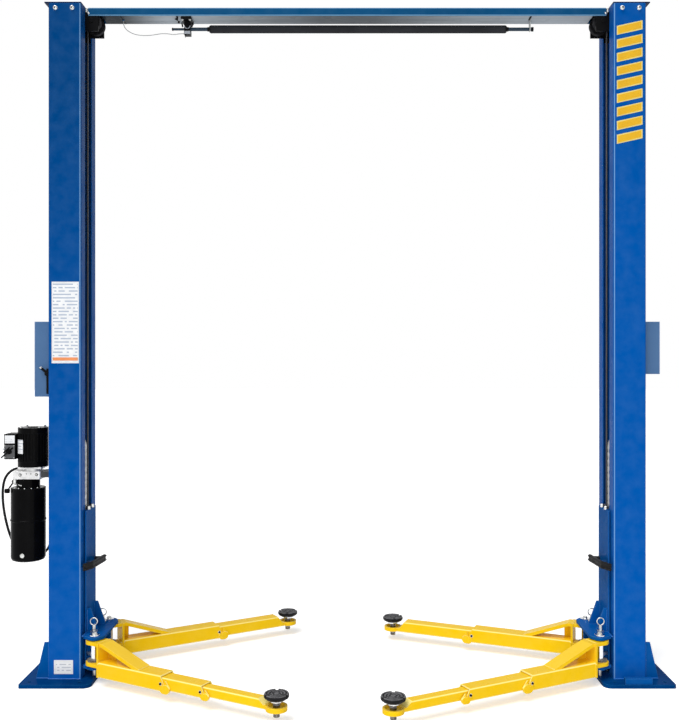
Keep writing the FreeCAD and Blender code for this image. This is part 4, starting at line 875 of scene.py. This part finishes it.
# Washer and stop screw: start and end from the tube's face, their radii, and the screw's sides
STOP_SCREW_IN = 0.024
STOP_WASHER = (-0.0005, 0.0016, 0.0088, 0.0082)
STOP_SCREW = (0.0012, 0.0060, 0.0058, 0.0052, 20)
END_PLATE = (0.060, 0.072)
EAR_LEVELS = (0.100, 0.118, 0.212, 0.230)
STRUT_END = 0.335
ARM_WELD = 0.0038
EAR_WELD = 0.0030
EYE_WELD = 0.0032
RING_RADIUS = 0.052
RING_HEIGHT = 0.022
EYE_RISE = 0.016


def arm_place(place, side):
    """Matrix from an arm's own axes, and its reach from pin to pad."""
    swing = next(joint for joint in frame["joints"] if joint["name"] == f"arm_swing_{place}_{side}")
    pin = Vector((*swing["pos_m"][:2], 0.0))
    reach = Vector((*middle_of(*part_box(f"{place}_pad_{side}")), 0.0)) - pin
    along = reach.normalized()
    axes = Matrix((along, UP.cross(along), UP)).transposed().to_4x4()
    return Matrix.Translation(pin) @ axes, reach.length


def stages(place, side):
    """Bodies of an arm's tubes, with where each tube ends and its section."""
    if place == "rear":
        return [(f"arm_rear_{side}", REAR_TUBE_END, TUBE)]
    return [
        (f"arm_front_{side}", FRONT_TUBE_END, TUBE),
        (f"arm_middle_front_{side}", MIDDLE_ENDS[side], INNER_TUBE),
    ]


def stage_fittings(matrix, body, end, section):
    """Rounded side lugs, washers and stop screws at a tube's end."""
    lugs = []
    washers = []
    screws = []
    radius = LUG_RADIUS * section["height"] / TUBE["height"]
    level = section["low"] + radius - LUG_DROP
    under = level - radius + 0.0002
    over = level + radius
    out = end + LUG_OUT
    back = end - LUG_BACK
    seam = end - 0.0005
    roof = section["plate_top"]
    for way in WAYS:
        face = way * section["half"]
        inner = face - way * section["skin"]
        outer = face + way * SKIN
        proud = (out, face + way * LUG_PROUD, level)
        rim = (out, face + way * LUG_RIM, level)
        cheek = [
            (seam, inner, under), (out, inner, under),
            (out + radius * CHEEK_REACH, inner, level + radius * CHEEK_RISE),
            (end + LUG_BACK, inner, roof), (seam, inner, roof),
        ]
        foot = [(back, outer, under), (out, outer, under), (out, outer, over), (back, outer, over)]
        lugs += [
            (cone, (out, inner, level), proud, radius, None, LUG_SIDES),
            (cone, proud, rim, radius, radius - LUG_CHAMFER, LUG_SIDES),
            (slab, cheek, (0.0, way * (section["skin"] - 0.0003), 0.0)),
            (slab, foot, (0.0, way * FOOT_DEPTH, 0.0)),
        ]
        screw = (end - STOP_SCREW_IN, face, section["low"] + section["height"] * 0.5)
        washers.append((stud, screw, DEEP * way, *STOP_WASHER))
        screws.append((stud, screw, DEEP * way, *STOP_SCREW))
    piece(f"lugs_{body}", YELLOW, "yellow_paint", lugs, body, matrix=matrix)
    piece(f"washers_{body}", ZINC, "bare_steel", washers, body, matrix=matrix)
    piece(f"stop_screws_{body}", SATIN, "black_paint", screws, body, matrix=matrix)


def cross_bead(x, half, z, radius):
    """Bead across an arm."""
    return (weld, (x, -half, z), (x, half, z), radius)


def upright_bead(x, y, low, high, radius):
    """Bead up a face."""
    return (weld, (x, y, low), (x, y, high), radius)


def arm_welds(place, side, matrix):
    """Beads of the clevis, the strut's foot and the end plate."""
    half = TUBE["half"]
    low = TUBE["low"]
    roof = low + TUBE["height"]
    beads = [cross_bead(STRUT_END + 0.001, half - 0.008, roof + 0.001, ARM_WELD)]
    beads += [upright_bead(END_PLATE[1], way * half, low + 0.008, roof - 0.006, ARM_WELD) for way in WAYS]
    beads += [cross_bead(END_PLATE[0], half * 0.8, level, EAR_WELD) for level in EAR_LEVELS]
    body = f"arm_{place}_{side}"
    piece(f"arm_welds_{place}_{side}", YELLOW, "yellow_paint", beads, body, matrix=matrix)


def eye_welds(place, side, matrix, reach):
    """Beads where the ring eye meets the bar's neck."""
    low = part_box(f"{place}_pad_screw_{side}")[0].z + EYE_RISE
    top = low + RING_HEIGHT
    neck = reach - RING_RADIUS * 0.86
    beads = [upright_bead(neck - 0.004, way * 0.026, low + 0.002, top - 0.001, EYE_WELD) for way in WAYS]
    beads.append(cross_bead(neck - 0.006, 0.024, top, EYE_WELD))
    body = f"arm_tip_{place}_{side}"
    piece(f"eye_welds_{place}_{side}", YELLOW, "yellow_paint", beads, body, matrix=matrix)


# Pads


# Rings of ribs: inner and outer radius, how many ribs, and the angle of the gaps
PAD_RIBS = ((0.0505, 0.0575, 3, 0.30), (0.0350, 0.0425, 3, 0.42), (0.0210, 0.0270, 4, 0.34))
PAD_RIB_RISE = 0.004
PAD_STEPS = 108
NOTCH_COUNT = 3
NOTCH_DEPTH = 0.009
NOTCH_WIDTH = 0.16
THREAD_PITCH = 0.0032
THREAD_RISE = 0.0012
THREAD_FOOT = 0.010
SCREW_RADIUS = 0.016
SCREW_TAIL = 0.016
SCREW_TOP_DROP = 0.0065
PAD_NUT_ACROSS = 0.046
PAD_NUT_HEIGHT = 0.009


def notched(radius, first):
    """Radius of a pad's rim at each step, pulled in at its notches."""
    rim = []
    for angle in round_steps(PAD_STEPS):
        nearest = 1.0
        for notch in range(NOTCH_COUNT):
            away = angle - first - TURN * notch / NOTCH_COUNT
            nearest = min(nearest, abs((away + pi) % TURN - pi))
        rim.append(radius - NOTCH_DEPTH * max(0.0, 1.0 - (nearest / NOTCH_WIDTH) ** 4))
    return rim


def rubber_pad(place, side, matrix):
    """Moulded pad with a notched rim, broken rings of ribs and a middle boss, the ribs and boss in a paler
    rubber that paints their highlight.
    """
    low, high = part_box(f"{place}_pad_{side}")
    centre = middle_of(low, high)
    radius = (high.x - low.x) / 2.0
    foot = low.z
    top = high.z
    floor = top - PAD_RIB_RISE
    way = matrix.to_3x3() @ ALONG
    first = atan2(way.y, way.x)
    profile = [
        (0.020, foot), (0.042, foot), (0.054, foot + 0.003), (0.0585, foot + 0.008),
        (radius, foot + 0.011), (radius, floor - 0.003), (radius - 0.0015, floor - 0.0006),
        (radius - 0.0035, floor), (0.020, floor), (0.012, floor),
    ]
    ribs = []
    for inner, outer, count, gap in PAD_RIBS:
        pitch = TURN / count
        for index in range(count):
            start = first + pitch * index + gap / 2.0
            span = (start, start + pitch - gap)
            ribs.append((sector, centre, (inner, outer), span, (floor - 0.001, top), 14))
    boss = [
        (0.004, floor - 0.001), (0.0120, floor - 0.001), (0.0115, top - 0.0005), (0.0075, top - 0.0005),
        (0.0065, floor + 0.001), (0.002, floor + 0.001),
    ]
    ribs.append((lathe, centre, boss, 32))
    body = f"lift_pad_{place}_{side}"
    piece(f"pad_ribs_{place}_{side}", LIT_RIB_RUBBER, "black_rubber", ribs, body, 28.0)
    rubber = [(lathe, centre, profile, PAD_STEPS, notched(radius, first))]
    made = piece(f"rubber_pad_{place}_{side}", PAD_RUBBER, "black_rubber", rubber, body, 28.0)
    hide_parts(f"{place}_pad_{side}")


def screw_threads(place, side):
    """Thread ridges and a lock nut on the screw, above the eye and below it."""
    low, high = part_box(f"{place}_pad_screw_{side}")
    centre = middle_of(low, high)
    nut_low = high.z - SCREW_TOP_DROP - PAD_NUT_HEIGHT
    above_eye = low.z + EYE_RISE + RING_HEIGHT + 0.002
    threads = []
    for start, stop, core in (
        (above_eye, nut_low, SCREW_RADIUS + 0.0002),
        (low.z - SCREW_TAIL, low.z + 0.001, SCREW_RADIUS - 0.0016),
    ):
        profile = [(THREAD_FOOT, start - 0.001)]
        level = start
        while level < stop - THREAD_PITCH:
            profile += [(core, level), (core + THREAD_RISE, level + THREAD_PITCH * 0.5)]
            level += THREAD_PITCH
        profile += [(core, level), (THREAD_FOOT, level)]
        threads.append((lathe, centre, profile, 40))
    body = f"lift_pad_{place}_{side}"
    piece(f"pad_threads_{place}_{side}", SCREW_STEEL, "chrome", threads, body, 25.0)
    nut = [(ring_nut, (*centre, nut_low), PAD_NUT_ACROSS, SCREW_RADIUS + 0.0005, PAD_NUT_HEIGHT)]
    piece(f"pad_nut_{place}_{side}", CHROME, "chrome", nut, body, 25.0)


for place, side in ARMS:
    arm_matrix, arm_reach = arm_place(place, side)
    for body, end, section in stages(place, side):
        stage_fittings(arm_matrix, body, end, section)
    arm_welds(place, side, arm_matrix)
    eye_welds(place, side, arm_matrix, arm_reach)
    rubber_pad(place, side, arm_matrix)
    screw_threads(place, side)


# Carriages


CARRIAGE_FACE = 1.396
BRACKET_TOP = 0.250
BRACKET_LOW = 0.080
FACE_HALF = 0.092
ROD_X = 1.356
PIN_INSET = 0.027
KEEPER_HALF = 0.036
# Beads: run of the level ones across, place and levels of the upright ones
LEVEL_SEAM = (0.075, 0.165)
UPRIGHT_SEAM = 0.0745
UPRIGHT_LEVELS = (BRACKET_TOP + 0.004, BRACKET_TOP + 0.118)
# Nuts and bolts: across flats, bore of a nut, and height
ROD_NUT = (0.034, 0.0098, 0.012)
PIN_BOLT = (0.020, 0.009)
KEEPER_BOLT = (0.017, 0.016)


def carriage_details(side):
    """Nuts of the restraint rods, pin locks, keeper nuts and beads on one carriage."""
    sign = SIDES[side]
    face = sign * CARRIAGE_FACE
    corner = sign * (CARRIAGE_FACE - 0.001)
    keeper = sign * (CARRIAGE_FACE + 0.004)
    low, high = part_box(f"arm_pins_{side}")
    pin = middle_of(low, high)[0]
    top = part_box(f"carriage_{side}")[1].z - 0.006
    nuts = []
    beads = []
    for way in WAYS:
        nuts.append((ring_nut, (sign * ROD_X, way * FACE_HALF, BRACKET_TOP + 0.0002), *ROD_NUT))
        nuts.append((bolt, (pin, way * (high.y - PIN_INSET), high.z), UP, *PIN_BOLT))
        near, far = [(face, way * y, BRACKET_TOP) for y in LEVEL_SEAM]
        beads.append((weld, near, far, 0.0045))
        beads.append(upright_bead(corner, way * UPRIGHT_SEAM, *UPRIGHT_LEVELS, 0.0035))
    nuts += [(bolt, (keeper, way * KEEPER_HALF, top), UP, *KEEPER_BOLT) for way in WAYS]
    beads.append(cross_bead(face, FACE_HALF, BRACKET_LOW, 0.004))
    body = f"lifting_carriage_{side}"
    piece(f"carriage_nuts_{side}", ZINC, "bare_steel", nuts, body)
    piece(f"carriage_welds_{side}", LIT_WELD_BLUE, "blue_paint", beads, body)


# Leaf chains


CHAIN_X = 1.432
CHAIN_PITCH = 0.01905
CHAIN_LOW = 0.262
CHAIN_HIGH = 1.190
CHAIN_HALF = 0.017
PIN_REACH = 0.0205
PIN_RADIUS = 0.0034
LINK_RADIUS = 0.0078
LINK_WAIST = 0.0056
LINK_THICKNESS = 0.0013
LINK_LIFTS = (0.0016, 0.0002)


def link_outline(x, y, low):
    """Figure of eight about a chain pin and the one above it."""
    points = []
    for start, z, side in ((0.0, low + CHAIN_PITCH, -LINK_WAIST), (pi, low, LINK_WAIST)):
        for index in range(9):
            across, along, _ = round_place((x, z), LINK_RADIUS, start + pi * index / 8, 0.0)
            points.append((across, y, along))
        points.append((x + side, y, low + CHAIN_PITCH / 2.0))
    return points


def chain_links(side):
    """Pins and outer plates over the front run of a chain."""
    x = SIDES[side] * CHAIN_X
    links = []
    for index in range(int((CHAIN_HIGH - CHAIN_LOW) / CHAIN_PITCH)):
        z = CHAIN_LOW + index * CHAIN_PITCH
        links.append((cone, (x, -PIN_REACH, z), (x, PIN_REACH, z), PIN_RADIUS, None, 12))
        for way in WAYS:
            outline = link_outline(x, way * (CHAIN_HALF + LINK_LIFTS[index % 2]), z)
            links.append((slab, outline, (0.0, way * LINK_THICKNESS, 0.0)))
    piece(f"chain_links_{side}", STEEL, "bare_steel", links)


for side in SIDES:
    carriage_details(side)
for side in SIDES:
    chain_links(side)


# Power unit


MOTOR = (-1.712, 0.0)
MOTOR_RADIUS = 0.080
MOTOR_TOP = 1.342
MOTOR_LOW = 1.130
MOTOR_HUB = (
    (0.012, MOTOR_TOP), (0.030, MOTOR_TOP), (0.029, MOTOR_TOP + 0.003), (0.010, MOTOR_TOP + 0.004),
)
MOTOR_PLATE_RADII = (MOTOR_RADIUS - SKIN, MOTOR_RADIUS + 2 * SKIN)
MOTOR_PLATE_SPAN = (radians(-148.0), radians(-112.0))
MOTOR_PLATE_LEVELS = (1.203, 1.278)
# Bolts of the motor's bells: their angles in degrees, and how the lower ones are turned further
BELL_ANGLES = (-135.0, -45.0, 45.0, 135.0)
LOW_BELL_TURN = 20.0
# Seam of a bell: how far it lies from the motor's end, its radius, wire, steps and sides
SEAM_INSET = 0.030
BELL_SEAM = (MOTOR_RADIUS + 0.0002, 0.0011, 72, 6)
TANK = (-1.738, 0.0)
TANK_TOP = 1.016
TANK_PLUG = (TANK[0], -0.0965, 0.660)
BOX_LEFT = -1.850
BOX_FRONT = -0.055
BOX_FACE = BOX_FRONT - 0.003
VALVE_PLUGS = ((-1.762, -0.060, 1.0885), (-1.674, -0.060, 1.0900))
VALVE_HOLE_SHADES = ((-1.728, -0.060, 1.094), (-1.704, -0.060, 1.094))
TANK_BOLTS = [round_place(TANK, 0.079, radians(degrees), TANK_TOP) for degrees in range(-160, -10, 25)]


def motor_bolts():
    """Bolts through the motor's bells, above and below."""
    bolts = []
    for degrees in BELL_ANGLES:
        high = round_place(MOTOR, MOTOR_RADIUS - 0.010, radians(degrees), MOTOR_TOP)
        low = round_place(MOTOR, MOTOR_RADIUS - 0.008, radians(degrees + LOW_BELL_TURN), MOTOR_LOW + 0.001)
        bolts += [(bolt, high, UP, 0.012, 0.007), (bolt, low, -UP, 0.010, 0.005)]
    return bolts


# Pieces of the power unit, each with its finish, slot and parts: builders with their places and sizes
UNIT_PIECES = (
    ("motor_bolts", ZINC, "bare_steel", motor_bolts()),
    ("motor_seams", BLACK, "black_paint", [
        (ring, (*MOTOR, MOTOR_TOP - SEAM_INSET), UP, *BELL_SEAM),
        (ring, (*MOTOR, MOTOR_LOW + SEAM_INSET), UP, *BELL_SEAM),
        (lathe, MOTOR, MOTOR_HUB, 40),
    ]),
    ("motor_plate", SMALL_PLATE, "black_paint", [
        (sector, MOTOR, MOTOR_PLATE_RADII, MOTOR_PLATE_SPAN, MOTOR_PLATE_LEVELS, 16, 0.0003),
    ], 50.0),
    ("switch_plate", WHITE_PLATE, "black_paint", [
        (box, (-1.846, BOX_FRONT - 0.001, 1.258), (-1.793, BOX_FRONT + 0.0002, 1.301), SKIN),
    ]),
    ("switch_cover", BOX_GREY, "black_paint", [
        (box, (-1.8475, BOX_FACE, 1.177), (-1.7925, BOX_FRONT + 0.0005, 1.249), 0.0012),
        (box, (BOX_LEFT - 0.0015, -0.051, 1.176), (BOX_LEFT + 0.0005, 0.051, 1.304), 0.0006),
    ]),
    ("switch_lever", SATIN, "black_paint", [
        (cone, (-1.822, BOX_FACE, 1.214), (-1.822, BOX_FACE - 0.010, 1.214), 0.015, 0.0135, 32),
        (cone, (-1.798, -0.070, 1.236), (-1.860, -0.070, 1.182), 0.0046, 0.0038, 16),
        (cone, (-1.816, -0.069, 1.238), (-1.850, -0.069, 1.208), 0.0036, 0.0032, 14),
    ]),
    ("switch_knob", WHITE, "black_paint", [(ball, (-1.848, -0.071, 1.230), 0.0066)]),
    ("switch_screws", ZINC, "bare_steel", [
        (stud, (x, BOX_FACE, z), -DEEP, 0.0, 0.0018, 0.0028, 0.0022, 14)
        for x in (-1.844, -1.796) for z in (1.181, 1.245)
    ]),
    ("unit_fittings", ZINC, "bare_steel", [
        *((stud, place, -DEEP, 0.0010, 0.0045, 0.0056, 0.0050, 6) for place in VALVE_PLUGS),
        *((stud, place, UP, -0.004, 0.0035, 0.0048, 0.0042, 12) for place in TANK_BOLTS),
        (bolt, TANK_PLUG, -DEEP, 0.020, 0.003, False),
        (stud, TANK_PLUG, -DEEP, 0.0, 0.001, 0.0118, 0.0114),
        (cone, (-1.794, -0.050, 1.046), (-1.794, -0.050, 1.064), 0.011, 0.010, 20),
        (cone, (-1.794, -0.050, 1.034), (-1.794, -0.050, 1.046), 0.007, 0.009, 6),
        (cone, (-1.772, -0.046, 1.034), (-1.752, -0.058, 1.028), 0.006, 0.005, 16),
        (cone, (-1.786, -0.040, 1.060), (-1.770, -0.040, 1.066), 0.007, 0.007, 6),
    ]),
    # Dark discs painted as the shade in the ports round the plugs and in two holes.
    ("valve_sockets", SATIN, "black_paint", [
        *((stud, place, -DEEP, -0.0004, 0.0012, 0.0080, 0.0076) for place in VALVE_PLUGS),
        *((stud, place, -DEEP, -0.0004, 0.0008, 0.0028, 0.0028, 16) for place in VALVE_HOLE_SHADES),
    ]),
    ("unit_dark_fittings", BLACK, "black_paint", [
        (cone, (-1.800, -0.044, 1.052), (-1.768, -0.044, 1.052), 0.010, 0.009),
        (cone, (-1.848, -0.044, 1.000), (-1.826, -0.044, 1.000), 0.0125),
        (ring, (*TANK, TANK_TOP - 0.004), UP, 0.0890, 0.0030, 72),
        (ring, (*TANK, 0.634), UP, 0.0865, 0.0028, 72),
    ]),
)


# Lock covers, beam and shut off bar


COVER_FRONT = -0.062
COVER_OUTER = 1.683
COVER_SCREW_X = 1.600
COVER_SCREW_INSET = 0.025
COVER_ENDS = {"left": (1.510, 1.914), "right": (1.632, 1.914)}
# Release handle: hub across and up, and its grip's inset and half run
HANDLE_HUB = (-1.606, 1.636)
GRIP_INSET = 0.006
GRIP_SLOPE = Vector((0.005, 0.0, -0.004))


def cover_details():
    """Screws and folded flanges of the lock covers."""
    screws = []
    folds = []
    for side, sign in SIDES.items():
        low, high = COVER_ENDS[side]
        for z in (low + COVER_SCREW_INSET, high - COVER_SCREW_INSET):
            for way in WAYS:
                place = (sign * COVER_SCREW_X, -way * COVER_FRONT, z)
                screws.append((stud, place, DEEP * way, 0.0, 0.0022, 0.0050, 0.0042, 18))
        left, right = sorted((sign * (COVER_OUTER - 0.0035), sign * COVER_OUTER))
        corner = (right, COVER_FRONT + SKIN, high - 0.001)
        folds.append((box, (left, COVER_FRONT - 0.0006, low + 0.001), corner, 0.0003))
    piece("cover_screws", ZINC, "bare_steel", screws)
    piece("cover_folds", COVER_EDGE, "blue_paint", folds)


def handle_details():
    """Pale grip end and hub bolt of the release handle."""
    low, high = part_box("release_handle")
    tip = Vector((low.x + GRIP_INSET, middle_of(low, high)[1], high.z - GRIP_INSET))
    grip = [(cone, tip + GRIP_SLOPE, tip - GRIP_SLOPE * 0.6, 0.0074, 0.0066, 20)]
    piece("handle_tip", WHITE, "black_paint", grip, "lock_release")
    hub = [(bolt, (HANDLE_HUB[0], low.y, HANDLE_HUB[1]), -DEEP, 0.014, 0.006)]
    piece("handle_bolt", SATIN, "black_paint", hub, "lock_release")


BEAM_BOTTOM = 3.560
BEAM_HALF = 0.061
HOOK = (1.342, 0.050)
HOOK_DROP = 0.020
BRACKET_BOLTS = ((1.404, 3.588), (1.392, 3.573))
SHEAVE_AXLE = (1.380, 3.5375)


def beam_details():
    """Joint seam, painted shade of a slot, and hooks of the beam, with its end bolts and the ends of the
    sheave axles.
    """
    x, y = HOOK
    low = BEAM_BOTTOM - HOOK_DROP
    dark = [
        (box, (-1.2245, -0.057, BEAM_BOTTOM - 0.0008), (-1.2185, 0.060, BEAM_BOTTOM + 0.0004), 0.0003),
        # A dark box painted as the shade inside a slot in the underside.
        (box, (0.9860, -0.058, BEAM_BOTTOM - 0.003), (0.9950, -0.004, BEAM_BOTTOM + 0.0005), 0.0006),
    ]
    for way in WAYS:
        dark.append((cone, (x, way * y, BEAM_BOTTOM + 0.001), (x, way * y, low), 0.0022, None, 12))
        dark.append((ring, (x - 0.0045, way * y, low), DEEP, 0.0045, 0.0022, 14, 8, 0.0, TURN * 0.6))
    bolts = []
    axles = []
    for sign in SIDES.values():
        for way in WAYS:
            out = DEEP * way
            bolts += [(bolt, (sign * x, way * BEAM_HALF, z), out, 0.011, 0.006) for x, z in BRACKET_BOLTS]
            end = (sign * SHEAVE_AXLE[0], way * BEAM_HALF, SHEAVE_AXLE[1])
            axles.append((stud, end, out, 0.0, 0.004, 0.0125, 0.0115))
    piece("beam_dark_parts", SATIN, "black_paint", dark)
    piece("bracket_bolts", ZINC, "bare_steel", bolts)
    piece("sheave_axle_ends", SATIN, "black_paint", axles)


BAR = (0.0, 3.510)
# Ends of the foam, and the two steps of the cap on each: start, end, radii and sides
FOAM_ENDS = ((-0.744, -1.0), (0.861, 1.0))
CAP_STEPS = ((-0.004, 0.006, 0.0216, 0.0180, 40), (0.006, 0.018, 0.0125, 0.0115, 28))
CLAMP_FRONT = -0.0185
CLAMP_DEPTH = (0.0, 0.0035, 0.0)


def collar(x, start, end, radius, end_radius, sides):
    """A collar on the bar, between two distances from a point on it."""
    return (stud, (x, *BAR), ALONG, start, end, radius, end_radius, sides)


def clamp_outline(x, lean):
    """Leaning strap between the switch and the beam."""
    top = x + lean
    return [(x - 0.004, CLAMP_FRONT, 3.516), (x + 0.004, CLAMP_FRONT, 3.516),
            (top + 0.005, CLAMP_FRONT, 3.541), (top - 0.003, CLAMP_FRONT, 3.541)]


BAR_CAPS = [
    *(
        collar(x, way * start, way * end, *rest)
        for x, way in FOAM_ENDS for start, end, *rest in CAP_STEPS
    ),
    collar(1.003, 0.0, 0.0112, 0.0112, 0.0124, 28),
    collar(-0.9545, 0.0, 0.0065, 0.0078, 0.0085, 24),
]
FOAM_SEAM = [(box, (-0.742, -0.0020, BAR[1] - 0.0216), (0.859, 0.0020, BAR[1] - 0.0198), 0.0005)]
CLIP = [(-0.930, -0.060, 3.545), (-0.912, -0.060, 3.556), (-0.912, -0.060, 3.535)]
# Pieces of the limit switch: cable clip, straps and pointed foot, then its grey face and its bolts
SWITCH_PIECES = (
    ("switch_clamps", SATIN, "black_paint", [
        (box, (-0.921, -0.062, 3.5385), (-0.913, -0.050, 3.5602), 0.0012),
        (slab, CLIP, (0.0, 0.008, 0.0)),
        (box, (-0.9125, -0.060, 3.524), (-0.903, -0.050, 3.535), 0.001),
        (slab, clamp_outline(-0.8935, -0.006), CLAMP_DEPTH),
        (slab, clamp_outline(-0.8445, 0.006), CLAMP_DEPTH),
        (cone, (-0.880, -0.008, 3.477), (-0.8815, -0.008, 3.4615), 0.0040, 0.0008, 14),
    ]),
    ("switch_face", BOX_PALE, "cast_aluminium", [
        (box, (-0.8835, -0.0235, 3.4775), (-0.8520, -0.0205, 3.4935), 0.001),
        (ring, (-0.869, -0.0178, 3.524), DEEP, 0.0150, 0.0022, 20, 8, pi, pi),
    ]),
    ("switch_bolts", ZINC, "bare_steel", [
        (bolt, (-0.889, -0.050, 3.545), -UP, 0.010, 0.005),
        (bolt, (-0.849, -0.050, 3.545), -UP, 0.010, 0.005),
    ]),
)


for name, material, slot, parts, *smooth_angle in UNIT_PIECES:
    piece(name, material, slot, parts, "frame", *smooth_angle)
cover_details()
handle_details()
beam_details()
piece("bar_caps", SATIN, "black_paint", BAR_CAPS, "shutoff_bar")
piece("foam_seam", SATIN, "foam", FOAM_SEAM, "shutoff_bar")
for name, material, slot, parts in SWITCH_PIECES:
    piece(name, material, slot, parts)


# Door guards


GUARD_PATH = ((-1.396, -0.150), (-1.366, -0.092), (-1.346, 0.096))
GUARD_THICKNESS = 0.014
GUARD_RIB_INSET = 0.008
GUARD_RIB_RADIUS = 0.0036


def guard_ribs(side):
    """Two rounded ribs along the inward face of a door guard."""
    sign = SIDES[side]
    low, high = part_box(f"door_guard_{side}")
    ribs = []
    for z in (low.z + GUARD_RIB_INSET, high.z - GUARD_RIB_INSET):
        for start, end in zip(GUARD_PATH, GUARD_PATH[1:]):
            run = Vector((end[0] - start[0], end[1] - start[1], 0.0)).normalized()
            out = run.cross(UP) * (GUARD_THICKNESS / 2.0)
            ends = [Vector((-sign * (x + out.x), y + out.y, z)) for x, y in (start, end)]
            ribs.append((cone, *ends, GUARD_RIB_RADIUS, None, 12))
    piece(f"guard_ribs_{side}", RUBBER, "black_rubber", ribs, f"lifting_carriage_{side}")


for side in SIDES:
    guard_ribs(side)


# Floor, backdrop and light


FLOOR_HALF = 40.0
FLOOR_DROP = 0.0005
FLOOR_GLOW = 0.45
SKY_LIGHT = 0.28
KEY_LIGHT = 2.15
KEY_PLACE = (-2.0, -3.5, 7.0)
KEY_AIM = (0.0, 0.0, 0.0)
KEY_ANGLE = 0.6
FRONT_LIGHT = 82.0
FRONT_PLACE = (0.0, -5.4, 2.0)
FRONT_AIM = (0.0, 0.0, 1.2)
FRONT_SIZE = (2.6, 1.8)
FULL_WHITE = (1.0, 1.0, 1.0, 1.0)


def seen_by(tree, *rays):
    """One where a ray of one of these kinds looks, and nothing for the others."""
    path = node(tree, "LightPath")
    seen = path.outputs[rays[0]]
    for ray in rays[1:]:
        seen = calculated(tree, "MAXIMUM", seen, path.outputs[ray])
    return seen


def make_floor():
    """Pale floor that keeps the shadow and looks white to the camera."""
    mesh = bpy.data.meshes.new("floor")
    corners = [(x * FLOOR_HALF, y * FLOOR_HALF, 0.0) for x, y in ((-1, -1), (1, -1), (1, 1), (-1, 1))]
    mesh.from_pydata(corners, [], [(0, 1, 2, 3)])
    floor = placed("floor", mesh)
    floor.location.z = -FLOOR_DROP
    material, tree, shader = new_material("pale_floor")
    tone = mixed(tree, patches(tree, 0.8, 3.0, 0.3, 0.7), (0.93, 0.93, 0.93), (0.90, 0.90, 0.90))
    glow = times(tree, seen_by(tree, "Is Camera Ray", "Is Glossy Ray"), FLOOR_GLOW)
    feed(shader, {"Base Color": tone, "Roughness": 0.9, "Specular IOR Level": 0.0})
    feed(shader, {"Emission Color": FULL_WHITE, "Emission Strength": glow})
    mesh.materials.append(material)


def make_world():
    """White to the camera and in reflections, softer as light."""
    world = bpy.data.worlds.new("studio")
    scene.world = world
    world.use_nodes = True
    tree = world.node_tree
    seen = seen_by(tree, "Is Camera Ray", "Is Glossy Ray", "Is Transmission Ray")
    strength = ranged(tree, seen, 0.0, 1.0, SKY_LIGHT, 1.0)
    feed(tree.nodes["Background"], {"Color": FULL_WHITE, "Strength": strength})


def add_lamp(name, kind, place, target, energy, **shape):
    """One soft lamp aimed at a point."""
    data = bpy.data.lights.new(name, kind)
    data.energy = energy
    for key, value in shape.items():
        setattr(data, key, value)
    lamp = placed(name, data)
    lamp.location = place
    lamp.rotation_euler = (Vector(target) - Vector(place)).to_track_quat("-Z", "Y").to_euler()


make_floor()
make_world()
add_lamp("key", "SUN", KEY_PLACE, KEY_AIM, KEY_LIGHT, angle=KEY_ANGLE)
add_lamp(
    "front_box", "AREA", FRONT_PLACE, FRONT_AIM, FRONT_LIGHT, shape="RECTANGLE", size=FRONT_SIZE[0],
    size_y=FRONT_SIZE[1],
)
scene.view_settings.view_transform = "Standard"
